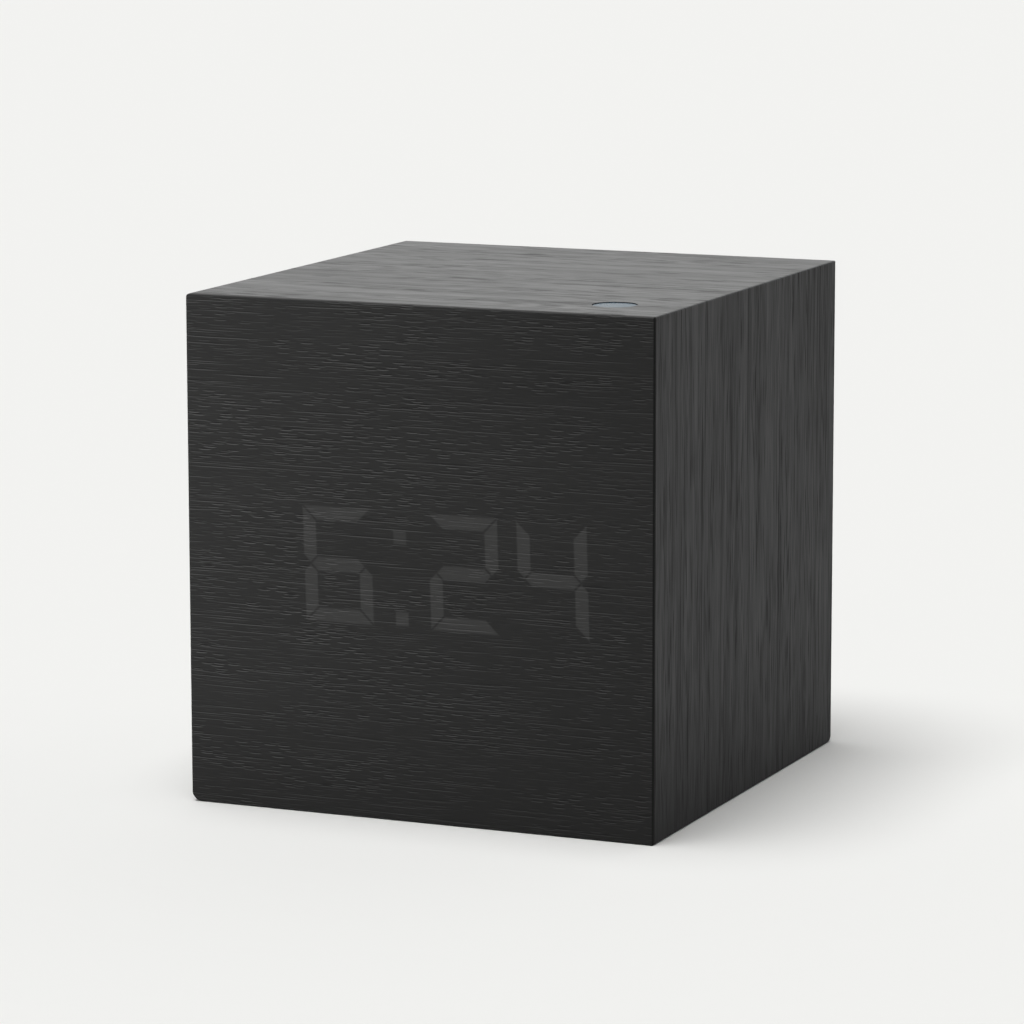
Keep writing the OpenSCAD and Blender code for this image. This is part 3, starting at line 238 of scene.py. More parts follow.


# The sides are painted darker towards the foot, most of all at the front: a painted shade
CASE_HALF_W, CASE_HALF_D, SIDE_SHADE_TO = 33.0, 34.0, 22.0
for sheet, seed in (("left_veneer", 14.2), ("right_veneer", 21.7)):
    veneer, tree, axes, look = stained_veneer(
        sheet, along=2, across=1, seed=seed, stain=("#111112", "#464647"), pore="#010101",
        spacing=(8, 0.45), island=(44, 3), between=0.45, line=(30, 0.4), drift=(40, 1.2), depth=0.025,
        gloss=(0.66, -0.08))
    painted_foot_shade = add(tree, "Math", add(tree, "MapRange", axes[2], 0.0, SIDE_SHADE_TO, 1.0, 0.0),
                 add(tree, "MapRange", axes[1], -CASE_HALF_D, CASE_HALF_D, 1.0, 0.45),
                 operation="MULTIPLY")
    look["Base_Color"] = add(tree, "Mix", data_type="RGBA", Factor_Float=painted_foot_shade,
                             A_Color=look["Base_Color"], B_Color=linear("#0d0d0e"))
    add(tree, "OutputMaterial", add(tree, "BsdfPrincipled", Specular_IOR_Level=0.2, **look))
    finish_nodes(veneer, sheet)
for sheet, seed in (("top_veneer", 3.1), ("base_veneer", 8.4)):
    veneer, tree, axes, look = stained_veneer(
        sheet, along=0, across=1, seed=seed, stain=("#1d1e1f", "#3f4042"), pore="#0a0a0b",
        spacing=(6, 0.65), island=(38, 5), between=0.3, line=(30, 0.6), drift=(40, 3), depth=0.035,
        gloss=(0.4, -0.17))
    add(tree, "OutputMaterial", add(tree, "BsdfPrincipled", Specular_IOR_Level=0.35, **look))
    finish_nodes(veneer, sheet)

# Front veneer: one sheet of the same oak, glued over the front board and thin enough for the seven-stroke
# digits behind it to shine through. The time stands at 6:24 with the leading place dark. The face is
# painted darker on the right and at the foot as a painted shade, and the upright cut edges are blackest.
veneer, tree, axes, look = stained_veneer(
    "front_veneer", along=0, across=2, seed=32.3, stain=("#2d2d2d", "#373737"), pore="#1e1e1e",
    spacing=(3.0, 0.32), island=(18, 4), between=0.2, line=(14, 0.18), drift=(50, 12), depth=0.015,
    gloss=(0.5, -0.06), lip_highlight="#6c6c6c")

# Which digit a point is at, and how far it is from that digit's middle
DIGIT_W, DIGIT_H, STROKE, LEAN = 9.7, 15.2, 1.8, math.tan(math.radians(1.7))
MITRE_GAP = 0.27 / math.sqrt(2)
COLON_X, MIDDLE_Z, COLON_UP, COLON_DOWN = -2.2, 33.4, 4.2, -6.5
HOUR_X, TEN_X, MINUTE_X = -11.15, 6.75, 19.15
half_w, half_h, half_t, slant = DIGIT_W / 2, DIGIT_H / 2, STROKE / 2, math.sqrt(0.5)
rise = add(tree, "Math", axes[2], MIDDLE_Z, operation="SUBTRACT")
run = add(tree, "Math", rise, LEAN, axes[0], operation="MULTIPLY_ADD")
past_colon = add(tree, "Math", run, COLON_X, operation="GREATER_THAN")
past_ten = add(tree, "Math", run, (TEN_X + MINUTE_X) / 2, operation="GREATER_THAN")
centre = add(tree, "Math", past_colon, TEN_X - HOUR_X, HOUR_X, operation="MULTIPLY_ADD")
centre = add(tree, "Math", past_ten, MINUTE_X - TEN_X, centre, operation="MULTIPLY_ADD")
aside = add(tree, "Math", run, centre, operation="SUBTRACT")
wide = add(tree, "Math", aside, operation="ABSOLUTE")
high = add(tree, "Math", rise, operation="ABSOLUTE")

# Distances inside the outlines of the upright, the outer level and the middle level strokes
beside = add(tree, "Math", wide, half_w - half_t, operation="SUBTRACT")
beside = add(tree, "Math", beside, operation="ABSOLUTE")
inner_end = add(tree, "Math", high, MITRE_GAP, operation="SUBTRACT")
inner_end = add(tree, "Math", inner_end, beside, operation="SUBTRACT")
outer_end = add(tree, "Math", half_h - half_w - MITRE_GAP, high, operation="SUBTRACT")
outer_end = add(tree, "Math", outer_end, wide, operation="ADD")
upright = add(tree, "Math", inner_end, outer_end, operation="MINIMUM")
upright = add(tree, "Math", upright, slant, operation="MULTIPLY")
upright = add(tree, "Math", upright, add(tree, "Math", half_t, beside, operation="SUBTRACT"),
              operation="MINIMUM")
over = add(tree, "Math", high, half_h - half_t, operation="SUBTRACT")
over = add(tree, "Math", over, operation="ABSOLUTE")
outer = add(tree, "Math", outer_end, -slant, -2 * MITRE_GAP * slant, operation="MULTIPLY_ADD")
outer = add(tree, "Math", outer, add(tree, "Math", half_t, over, operation="SUBTRACT"),
            operation="MINIMUM")
middle = add(tree, "Math", half_w - half_t - MITRE_GAP, high, operation="SUBTRACT")
middle = add(tree, "Math", middle, wide, operation="SUBTRACT")
middle = add(tree, "Math", middle, slant, operation="MULTIPLY")
middle = add(tree, "Math", middle, add(tree, "Math", half_t, high, operation="SUBTRACT"),
             operation="MINIMUM")

# Uprights lit in the 6, the 2 and the 4: lower left, upper left, lower right, upper right of each
UPRIGHTS_LIT = (1, 1, 1, 0, 1, 0, 0, 1, 0, 1, 1, 1)
turn = add(tree, "Math", add(tree, "Math", rise, 0.0, operation="GREATER_THAN"), 0.5, operation="ADD")
on_right = add(tree, "Math", aside, 0.0, operation="GREATER_THAN")
turn = add(tree, "Math", on_right, 2.0, turn, operation="MULTIPLY_ADD")
digit = add(tree, "Math", past_colon, past_ten, operation="ADD")
turn = add(tree, "Math", digit, 4.0, turn, operation="MULTIPLY_ADD")
lit = add(tree, "ValToRGB", add(tree, "Math", turn, len(UPRIGHTS_LIT), operation="DIVIDE"))
ramp = lit.node.color_ramp
ramp.interpolation = "CONSTANT"
ramp.elements.remove(ramp.elements[1])
ramp.elements[0].color = [UPRIGHTS_LIT[0]] * 3 + [1]
for i in range(1, len(UPRIGHTS_LIT)):
    if UPRIGHTS_LIT[i] != UPRIGHTS_LIT[i - 1]:
        ramp.elements.new(i / len(UPRIGHTS_LIT)).color = [UPRIGHTS_LIT[i]] * 3 + [1]

# Each outline's light spreads a little in the wood and shows its figure; the upper colon dot is fainter
SPREAD, FIGURE, GLOW = 0.15, (9, 1, 0.8), 0.019
from_colon = add(tree, "Math", run, COLON_X, operation="SUBTRACT")
from_colon = add(tree, "Math", from_colon, operation="ABSOLUTE")
parts = [(upright, lit), (outer, add(tree, "Math", 1.0, past_ten, operation="SUBTRACT")), (middle, 1.0)]
for dot_z, share in ((COLON_UP, 0.8), (COLON_DOWN, 1.0)):
    from_dot = add(tree, "Math", rise, dot_z, operation="SUBTRACT")
    from_dot = add(tree, "Math", from_dot, operation="ABSOLUTE")
    reach = add(tree, "Math", from_dot, from_colon, operation="MAXIMUM")
    parts.append((add(tree, "Math", half_t, reach, operation="SUBTRACT"), share))
glow = 0.0
for inside, share in parts:
    light = add(tree, "MapRange", inside, -SPREAD, SPREAD, interpolation_type="SMOOTHSTEP")
    light = add(tree, "Math", light, share, operation="MULTIPLY")
    glow = add(tree, "Math", glow, light, operation="MAXIMUM")
figure = add(tree, "VectorMath", in_mm(tree), [1 / size for size in FIGURE], operation="MULTIPLY")
through = add(tree, "TexNoise", figure, Scale=1.0, Detail=2.0)
through = add(tree, "Math", through, 0.3, 0.85, operation="MULTIPLY_ADD")
glow = add(tree, "Math", glow, through, operation="MULTIPLY")
glow = add(tree, "Math", glow, GLOW, operation="MULTIPLY")

# The sheet's cut edges show no pores: the level ones are painted lighter, a painted highlight along their
# rounding, the upright ones black and dull
FRONT_SHADE_TO = 28.0
facing = add(tree, "SeparateXYZ", add(tree, "NewGeometry").node.outputs["Normal"]).node.outputs
face = add(tree, "MapRange", add(tree, "Math", facing[0], operation="ABSOLUTE"), 0.7, 0.2)
painted_edge_highlight = add(tree, "MapRange", add(tree, "Math", facing[2], operation="ABSOLUTE"), 0.4, 0.8)
# Painted shade: the face is darkened towards the right and towards the foot
painted_front_shade = add(tree, "Math", add(tree, "MapRange", axes[0], -CASE_HALF_W, CASE_HALF_W, 1.0, 0.44),
            add(tree, "MapRange", axes[2], 0.0, FRONT_SHADE_TO, 0.6, 1.0), operation="MULTIPLY")
tone = add(tree, "Mix", data_type="RGBA", Factor_Float=painted_edge_highlight, A_Color=look["Base_Color"],
           B_Color=linear("#454545"))
tone = add(tree, "Mix", data_type="RGBA", Factor_Float=painted_front_shade, A_Color=linear("#070707"), B_Color=tone)
look["Base_Color"] = add(tree, "Mix", data_type="RGBA", Factor_Float=face, A_Color=linear("#080808"),
                         B_Color=tone)
look["Roughness"] = add(tree, "Mix", Factor_Float=face, A_Float=0.85, B_Float=look["Roughness"])
add(tree, "OutputMaterial", add(tree, "BsdfPrincipled", Specular_IOR_Level=0.2,
                                Emission_Color=linear("#f4f4f2"), Emission_Strength=glow, **look))
finish_nodes(veneer, "front_veneer")

# Light sensor: a round window dropped into the top from inside, a holder screwed up under it, and a
# small board with the sensor. Acrylic, ABS and glass-epoxy laminate; the lead is soldered to the board.


def worked_finish(name, speck, tones, gloss, relief, soft_edge=None, **looks):
    """A finish whose specks, sized in millimetres along each axis, shift its tone, gloss and height."""
    made, tree = start_finish(name)
    drawn = add(tree, "VectorMath", in_mm(tree), [1 / s for s in speck], operation="MULTIPLY")
    specks = add(tree, "TexNoise", drawn, Scale=1.0, Detail=3.0, Roughness=0.6)
    tone = add(tree, "Mix", data_type="RGBA", Factor_Float=add(tree, "MapRange", specks, 0.3, 0.7),
               A_Color=linear(tones[0]), B_Color=linear(tones[1]))
    dull = add(tree, "MapRange", specks, 0.3, 0.7, gloss[0], gloss[1])
    worn = soft_edge and add(tree, "Bevel", soft_edge * MM, samples=6)
    raised = add(tree, "Bump", Height=specks, Distance=relief * MM, Strength=1.0, Normal=worn)
    add(tree, "OutputMaterial",
        add(tree, "BsdfPrincipled", Base_Color=tone, Roughness=dull, Normal=raised, **looks))
    return made


# Smoked acrylic, moulded glossy: along the top it mirrors the wall behind in a faint, hazy blue
smoked = worked_finish("acrylic, smoked blue, moulded", speck=(3, 3, 3), tones=("#1f3f52", "#224355"),
                       gloss=(0.26, 0.32), relief=0.002, IOR=1.49)
# Black ABS from a spark-eroded tool: an even fine grit that breaks the highlights up, soft at its edges.
# The grit is drawn at 0.3 mm, about twice its real size, so that it shows.
black_abs = worked_finish("ABS, black, spark-eroded", speck=(0.3, 0.3, 0.3),
                          tones=("#1a1a1b", "#262627"), gloss=(0.46, 0.62), relief=0.012, soft_edge=0.25)
# Green resist over the glass weave: a silky, faintly mottled green
laminate = worked_finish("glass-epoxy laminate, green resist", speck=(0.7, 0.7, 0.7),
                         tones=("#0f3a22", "#17532f"), gloss=(0.3, 0.45), relief=0.004)
# Nickel-plated steel as it was turned: bright, with short drawn-out scuffs, drawn wider than real ones
plated = worked_finish("steel, turned, nickel plated", speck=(1.2, 0.25, 0.25),
                       tones=("#9d9c98", "#c4c3bf"), gloss=(0.2, 0.38), relief=0.004, Metallic=1.0)
# Clear epoxy cast over the chip: glassy and a little yellow
cast_epoxy = worked_finish("epoxy, clear, cast", speck=(1.5, 1.5, 1.5), tones=("#c9c6b4", "#dedccb"),
                           gloss=(0.08, 0.16), relief=0.002, IOR=1.54)
finish_nodes(smoked, "sensor_lens")
finish_nodes(black_abs, "sensor_holder")
finish_nodes(laminate, "sensor_board")
finish_nodes(plated, "sensor_screws")
finish_nodes(cast_epoxy, "light_sensor")

# Sensor lead: two fine cores in one grey PVC sleeve, extruded, soldered to the sensor's board and to the
# main board. It drops from the sensor, runs back under the top and turns into the main board.
SENSOR_ROUTE = ((19.5, -21.9, 59.65), (19.5, -21.9, 57.65), (19.5, -17.9, 55.65), (19.5, -7.9, 55.65),
                (16, 7.25, 56.2), (14, 17.25, 59.2), (14, 23.25, 59.2))
WIRE_SIZES = {"Half thickness": 0.6 * MM}


def sleeved_wire(sleeve):
    """A tree that sweeps a round sleeve along each line of points."""
    tree = bpy.data.node_groups.new("sleeved wire", "GeometryNodeTree")
    tree.interface.new_socket("Route", in_out="INPUT", socket_type="NodeSocketGeometry")
    tree.interface.new_socket("Half thickness", in_out="INPUT", socket_type="NodeSocketFloat")
    tree.interface.new_socket("Wire", in_out="OUTPUT", socket_type="NodeSocketGeometry")
    given = add(tree, "NodeGroupInput").node.outputs
    line = add(tree, "GeometryNodeMeshToCurve", given["Route"])
    line = add(tree, "GeometryNodeCurveSplineType", line, spline_type="CATMULL_ROM")
    line = add(tree, "GeometryNodeSetSplineResolution", line, Resolution=10)
    ring = add(tree, "GeometryNodeCurvePrimitiveCircle", Resolution=16, Radius=given["Half thickness"])
    swept = add(tree, "GeometryNodeCurveToMesh", line, ring, Fill_Caps=True)
    swept = add(tree, "GeometryNodeRealizeInstances", add(tree, "GeometryNodeSetShadeSmooth", swept))
    add(tree, "NodeGroupOutput", add(tree, "GeometryNodeSetMaterial", swept, Material=sleeve))
    return tree


def grow(name, start, tree, **sizes):
    """Runs a tree over a start mesh, with its sizes in metres, and leaves the result as a plain mesh."""
    piece = bpy.data.objects.new(name, start)
    scene.collection.objects.link(piece)
    growth = piece.modifiers.new(name, "NODES")
    growth.node_group = tree
    for socket in tree.interface.items_tree:
        if socket.in_out == "INPUT" and socket.name in sizes:
            growth[socket.identifier] = sizes[socket.name]
    made = bpy.data.meshes.new_from_object(piece.evaluated_get(bpy.context.evaluated_depsgraph_get()))
    piece.modifiers.remove(growth)
    piece.data = made
    return piece


def routes(name, *lines):
    """A mesh of open lines of points, given in millimetres."""
    points, edges = [], []
    for line in lines:
        edges += [(len(points) + i, len(points) + i + 1) for i in range(len(line) - 1)]
        points += [[c * MM for c in point] for point in line]
    made = bpy.data.meshes.new(name)
    made.from_pydata(points, edges, [])
    return made


def fit(piece, body, slot, *replaced):
    """Hangs a piece on its body and hides the solids that it stands for; its slot is not used."""
    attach(piece, body)
    if replaced:
        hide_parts(*replaced)


# Extruded PVC: soft satin, with a slow unevenness along it
grey_sleeve = worked_finish("PVC, grey, extruded", speck=(2, 2, 2), tones=("#6a6a6c", "#7c7c7e"),
                            gloss=(0.4, 0.5), relief=0.01)
fit(grow("sensor_wire", routes("sensor_wire", SENSOR_ROUTE), sleeved_wire(grey_sleeve), **WIRE_SIZES),
    "case", "wire_sleeve", "sensor_lead")

# Display: a stock seven-stroke module of white reflector, milky bars and one chip behind each bar, on
# its board, with a film over the front. It stands in the front board's window, held by four screws.

# Moulded white PBT: chalky and even
white_pbt = worked_finish("PBT, white, moulded", speck=(0.8, 0.8, 0.8), tones=("#dcdbd6", "#eceae5"),
                          gloss=(0.45, 0.6), relief=0.006)
# Film with a sanded face: pale, soft, without a highlight; its scratches are drawn coarser than real ones
film = worked_finish("polyester film, sanded", speck=(0.2, 0.2, 0.2), tones=("#d6d6d4", "#e6e6e4"),
                     gloss=(0.6, 0.8), relief=0.004)
# Epoxy filled with chalk, cast into the bars: milky and nearly matt
milky = worked_finish("epoxy, milky, cast", speck=(0.9, 0.9, 0.9), tones=("#d8d9d6", "#ecedea"),
                      gloss=(0.25, 0.4), relief=0.004)
finish_nodes(film, "display_diffuser")
finish_nodes(white_pbt, "led_reflector")
finish_nodes(milky, "led_segments")
finish_nodes(cast_epoxy, "led_chips")
finish_nodes(laminate, "display_board")
finish_nodes(plated, "display_screws")
finish_nodes(black_abs, "display_header", "board_header")

# Display ribbon: ten cores side by side in one web of grey PVC, extruded flat, with one edge marked.
# It is pressed into a header at each end and sags a little on its way to the main board.
CORES, CORE_PITCH, RIBBON_X, RIBBON_T, RIBBON_IN = 10, 1.27, -6, 0.9, 3
RIBBON_START, RIBBON_END = Vector((-21.2, 45.6)), Vector((17.4, 51))
SAG_STEPS, CORE_STEPS = 24, 8
# Shares of the thickness: half the web, and how much further a core swells
WEB_HALF, CORE_SWELL = 0.26, 0.24
pull = Vector(((RIBBON_END.x - RIBBON_START.x) / 2, 0))
line = [RIBBON_START - Vector((RIBBON_IN, 0))]
for i in range(SAG_STEPS + 1):
    t = i / SAG_STEPS
    line.append((1 - t) ** 3 * RIBBON_START + 3 * (1 - t) ** 2 * t * (RIBBON_START + pull)
                + 3 * (1 - t) * t ** 2 * (RIBBON_END - pull) + t ** 3 * RIBBON_END)
line.append(RIBBON_END + Vector((RIBBON_IN, 0)))
web = []
for core in range(CORES):
    for step in range(CORE_STEPS):
        swell = abs(math.sin(math.pi * step / CORE_STEPS))
        web.append(((core + step / CORE_STEPS) * CORE_PITCH, RIBBON_T * (WEB_HALF + CORE_SWELL * swell)))
web.append((CORES * CORE_PITCH, RIBBON_T * WEB_HALF))
outline = web + [(x, -z) for x, z in reversed(web)]
bm = bmesh.new()
rings = []
for i, point in enumerate(line):
    heading = (line[min(i + 1, len(line) - 1)] - line[max(i - 1, 0)]).normalized()
    rings.append([bm.verts.new(((RIBBON_X + x - CORES * CORE_PITCH / 2) * MM,
                                (point.x - heading.y * z) * MM,
                                (point.y + heading.x * z) * MM)) for x, z in outline])
for one, two in zip(rings, rings[1:]):
    for i in range(len(outline)):
        j = (i + 1) % len(outline)
        bm.faces.new((one[i], one[j], two[j], two[i]))
bm.faces.new(rings[0])
bm.faces.new(rings[-1])


def finish_mesh(name, bm, *materials):
    """Turns a bmesh's faces outwards and makes it an object."""
    bmesh.ops.recalc_face_normals(bm, faces=bm.faces)
    made = bpy.data.meshes.new(name)
    bm.to_mesh(made)
    bm.free()
    for material in materials:
        made.materials.append(material)
    piece = bpy.data.objects.new(name, made)
    scene.collection.objects.link(piece)
    return piece


# Grey PVC in soft ridges over the cores, with the first core's back printed red
RIBBON_CLOUD = 2.5
ribbed, tree = start_finish("PVC, grey, extruded in a ribbon")
place = in_mm(tree)
cloud = add(tree, "TexNoise", place, Scale=1 / RIBBON_CLOUD, Detail=2.0)
first = add(tree, "Math", add(tree, "SeparateXYZ", place).node.outputs[0],
            RIBBON_X - (CORES / 2 - 1) * CORE_PITCH, operation="LESS_THAN")
grey = add(tree, "Mix", data_type="RGBA", Factor_Float=cloud, A_Color=linear("#8f9094"),
           B_Color=linear("#a3a4a8"))
tone = add(tree, "Mix", data_type="RGBA", Factor_Float=first, A_Color=grey, B_Color=linear("#9c2f2c"))
add(tree, "OutputMaterial", add(tree, "BsdfPrincipled", Base_Color=tone,
                                Roughness=add(tree, "MapRange", cloud, 0.3, 0.7, 0.4, 0.52)))
fit(finish_mesh("ribbon_cable", bm, ribbed), "case", "wire_sleeve", "display_ribbon")

# Rear panel: one black ABS moulding with the battery bay, the button holes and the sound slots in it.
# Two countersunk screws pull it into the glue blocks; its marks are raised in the mould and printed.
finish_nodes(black_abs, "rear_panel")
finish_nodes(plated, "rear_panel_screws")
PANEL_Y, MARK_RISE = 33.0, 0.12


def raise_mark(bm, outline, hole=None, rise=MARK_RISE):
    """Raises a flat mark from the panel's face. Outlines are x and z; a hole needs as many points."""
    loops = [outline] if hole is None else [outline, hole]
    low = [[bm.verts.new((x * MM, PANEL_Y * MM, z * MM)) for x, z in loop] for loop in loops]
    high = [[bm.verts.new((x * MM, (PANEL_Y + rise) * MM, z * MM)) for x, z in loop] for loop in loops]
    count = len(outline)
    for under, over in zip(low, high):
        for i in range(count):
            bm.faces.new((under[i], under[(i + 1) % count], over[(i + 1) % count], over[i]))
    for level in (low, high):
        if hole is None:
            bm.faces.new(level[0])
            continue
        for i in range(count):
            j = (i + 1) % count
            bm.faces.new((level[0][i], level[0][j], level[1][j], level[1][i]))


def round_loop(x, z, radius, count=28):
    """Points round a circle on the panel's face."""
    turns = [2 * math.pi * i / count for i in range(count)]
    return [(x + radius * math.cos(turn), z + radius * math.sin(turn)) for turn in turns]


# A clock face over the set button, triangles over the up and down buttons, and a dot and a ring over the
# sound switch for on and off
SET_X, UP_X, DOWN_X, MARK_Z = -8.4, 0.0, 8.4, 61.6
SOUND_ON_X, SOUND_OFF_X, SOUND_Z = 17.8, 15.4, 60.2
CLOCK_R, CLOCK_HOLE_R, DOT_R, DOT_HOLE_R = 0.95, 0.65, 0.5, 0.3
HAND_HALF, LONG_HAND, SHORT_HAND = 0.12, 0.5, 0.4
TRIANGLE_HALF, TRIANGLE_FOOT, TRIANGLE_TIP = 0.95, 0.65, 0.85
bm = bmesh.new()
raise_mark(bm, round_loop(SET_X, MARK_Z, CLOCK_R), round_loop(SET_X, MARK_Z, CLOCK_HOLE_R))
hands = ((-HAND_HALF, LONG_HAND), (-HAND_HALF, -HAND_HALF), (SHORT_HAND, -HAND_HALF),
         (SHORT_HAND, HAND_HALF), (HAND_HALF, HAND_HALF), (HAND_HALF, LONG_HAND))
raise_mark(bm, [(SET_X + x, MARK_Z + z) for x, z in hands])
for x, way in ((UP_X, 1), (DOWN_X, -1)):
    foot, tip = MARK_Z - TRIANGLE_FOOT * way, MARK_Z + TRIANGLE_TIP * way
    raise_mark(bm, [(x - TRIANGLE_HALF, foot), (x + TRIANGLE_HALF, foot), (x, tip)])
raise_mark(bm, round_loop(SOUND_ON_X, SOUND_Z, DOT_R))
raise_mark(bm, round_loop(SOUND_OFF_X, SOUND_Z, DOT_R), round_loop(SOUND_OFF_X, SOUND_Z, DOT_HOLE_R))
# Pad-printed ink on the raised marks: flat pale grey, thin enough for the grit to show
ink = worked_finish("ink, pale grey, pad printed", speck=(0.3, 0.3, 0.3), tones=("#a3a3a1", "#bdbdbb"),
                    gloss=(0.5, 0.65), relief=0.01)
fit(finish_mesh("panel_marks", bm, ink), "case", "white_plastic")

# Circuit board: glass-epoxy laminate with its parts soldered on, screwed to posts on the rear panel.
# Chip and switches are moulded compound, the crystal, microphone and slide switch steel cans.

# Moulding compound: charcoal, fine and dry; its grain is drawn coarser than real so that it shows
compound = worked_finish("epoxy compound, black, moulded", speck=(0.25, 0.25, 0.25),
                         tones=("#1d1d1d", "#2b2b2a"), gloss=(0.5, 0.7), relief=0.006)
# Rolled brass: warm, with streaks along the strip, drawn wider than real ones
brass = worked_finish("brass strip, rolled", speck=(0.2, 0.2, 2.5), tones=("#a8874a", "#cbab68"),
                      gloss=(0.24, 0.42), relief=0.004, Metallic=1.0)
# Shrunk PVC over the can: dark blue and glossy
shrunk = worked_finish("PVC sleeve, dark blue, shrunk on", speck=(1.5, 1.5, 1.5),
                       tones=("#151d33", "#1f2a46"), gloss=(0.25, 0.38), relief=0.006)
finish_nodes(laminate, "main_board")
finish_nodes(plated, "main_board_screws", "clock_crystal", "sound_switch_body", "microphone")
finish_nodes(compound, "controller_chip", "switch_bodies", "buzzer")
finish_nodes(brass, "set_plunger", "up_plunger", "down_plunger")
finish_nodes(shrunk, "smoothing_capacitor")

# Controls: three push buttons and the slide switch's knob, ABS from a polished tool, dropped into the
# panel from inside and held by the board behind them. Fingers keep their faces smooth.

# Satin ABS: a broad soft highlight on a slightly paler grey than the panel
satin_abs = worked_finish("ABS, dark grey, satin", speck=(0.9, 0.9, 0.9), tones=("#2a2a2c", "#343436"),
                          gloss=(0.28, 0.4), relief=0.004, soft_edge=0.3)
finish_nodes(satin_abs, "set_button", "up_button", "down_button", "sound_switch_knob")

# Power socket: a black ABS barrel with a plated pin, soldered to the board, its collar in the panel's
# hole. The pin is brass under bright nickel.
finish_nodes(black_abs, "power_socket")
finish_nodes(plated, "socket_pin")

# Battery contacts and springs: stamped brass plates slid into the bay's end walls, and a conical spring
# of nickel-plated steel wire at the foot of each cell, its wide end seated on a plate.
finish_nodes(brass, "battery_contacts")
PLATE_X, SPRING_OFF, CELL_Y, CELL_Z, CELL_WAYS = 24.55, 0.35, 25.85, (16.4, 27.3, 38.2), (1, -1, 1)
SPRING_SIZES = {"Half wire": 0.3 * MM, "Wide radius": 3.2 * MM, "Narrow radius": 2.3 * MM,
                "Rise": 3.9 * MM, "Turns": 3.0}
seats = bpy.data.meshes.new("spring_seats")
seats.from_pydata([(-way * (PLATE_X - SPRING_OFF) * MM, CELL_Y * MM, z * MM)
                   for way, z in zip(CELL_WAYS, CELL_Z)], [], [])
turned = seats.attributes.new("turn", "FLOAT", "POINT")
for i, way in enumerate(CELL_WAYS):
    turned.data[i].value = way * math.pi / 2
tree = bpy.data.node_groups.new("conical spring", "GeometryNodeTree")
tree.interface.new_socket("Seats", in_out="INPUT", socket_type="NodeSocketGeometry")
for size in SPRING_SIZES:
    tree.interface.new_socket(size, in_out="INPUT", socket_type="NodeSocketFloat")
tree.interface.new_socket("Springs", in_out="OUTPUT", socket_type="NodeSocketGeometry")
given = add(tree, "NodeGroupInput").node.outputs
coil = add(tree, "GeometryNodeCurveSpiral", Resolution=32, Rotations=given["Turns"],
           Start_Radius=given["Wide radius"], End_Radius=given["Narrow radius"], Height=given["Rise"])
ring = add(tree, "GeometryNodeCurvePrimitiveCircle", Resolution=12, Radius=given["Half wire"])
coil = add(tree, "GeometryNodeCurveToMesh", coil, ring, Fill_Caps=True)
coil = add(tree, "GeometryNodeSetShadeSmooth", coil)
turn = add(tree, "GeometryNodeInputNamedAttribute", "turn", data_type="FLOAT")
springs = add(tree, "GeometryNodeInstanceOnPoints", given["Seats"], Instance=coil,
              Rotation=add(tree, "CombineXYZ", 0.0, turn, 0.0))
springs = add(tree, "GeometryNodeRealizeInstances", springs)
add(tree, "NodeGroupOutput", add(tree, "GeometryNodeSetMaterial", springs, Material=plated))
fit(grow("cell_springs", seats, tree, **SPRING_SIZES), "case", "steel", "battery_springs")

# Battery leads: stranded copper in PVC sleeves, black from the first cell's spring and red from the
# last cell's plate, soldered at both ends. They run up the outside of the bay and over its top.
BLACK_ROUTE = ((-27.275, 25.85, 16.75), (-27.275, 25.85, 29.175), (-27.275, 22.85, 41.95),
               (-27.275, 20.4, 44.95), (-23.55, 20.4, 47), (-23.55, 23.25, 47))
RED_ROUTE = ((27.275, 25.85, 38.55), (27.275, 25.85, 40.075), (27.275, 22.85, 41.95),
             (27.275, 20.4, 44.95), (23.55, 20.4, 47), (23.55, 23.25, 47))
# Extruded PVC again, satin and a little uneven, one lead's pigment black and the other's red
SLEEVE_CLOUD = 2
paired, tree = start_finish("PVC, black and red, extruded")
place = in_mm(tree)
cloud = add(tree, "TexNoise", place, Scale=1 / SLEEVE_CLOUD, Detail=2.0)
is_red = add(tree, "Math", add(tree, "SeparateXYZ", place).node.outputs[0], 0.0,
             operation="GREATER_THAN")
blacks = add(tree, "Mix", data_type="RGBA", Factor_Float=cloud, A_Color=linear("#161617"),
             B_Color=linear("#232324"))
reds = add(tree, "Mix", data_type="RGBA", Factor_Float=cloud, A_Color=linear("#8e1a17"),
           B_Color=linear("#a82420"))
tone = add(tree, "Mix", data_type="RGBA", Factor_Float=is_red, A_Color=blacks, B_Color=reds)
add(tree, "OutputMaterial", add(tree, "BsdfPrincipled", Base_Color=tone,
                                Roughness=add(tree, "MapRange", cloud, 0.3, 0.7, 0.38, 0.5)))
fit(grow("bay_wires", routes("bay_wires", BLACK_ROUTE, RED_ROUTE), sleeved_wire(paired), **WIRE_SIZES),
    "case", "wire_sleeve", "battery_leads")

# Cells: three AAA cells lying head to tail, drawn steel cans in a printed film sleeve that is shrunk
# over both shoulders. They are pressed in between spring and plate.
CELL_FOOT, CELL_R, CAN_L, SEGMENTS = 19.95, 5.25, 43.5, 48
# Along the cell and out from its middle, and whether the film covers the stretch up to the next point
PROFILE = ((0.25, 1.2, 0), (0.0, 1.5, 0), (0.0, 3.9, 0), (0.12, 4.3, 0), (0.12, 4.75, 1),
           (0.0, 4.85, 1), (0.1, 5.12, 1), (0.4, 5.25, 1), (41.4, 5.25, 1), (41.6, 5.19, 1),
           (41.8, 5.04, 1), (42.0, 5.0, 1), (42.2, 5.04, 1), (42.4, 5.16, 1), (42.6, 5.2, 1),
           (43.1, 5.17, 1), (43.38, 5.02, 1), (43.5, 4.75, 1), (43.5, 4.1, 0), (43.38, 3.9, 0),
           (43.3, 2.3, 0), (43.42, 2.02, 0), (43.7, 1.9, 0), (44.3, 1.88, 0), (44.44, 1.78, 0),
           (44.5, 1.55, 0))
bm = bmesh.new()
sleeve_map = bm.loops.layers.uv.new("sleeve")
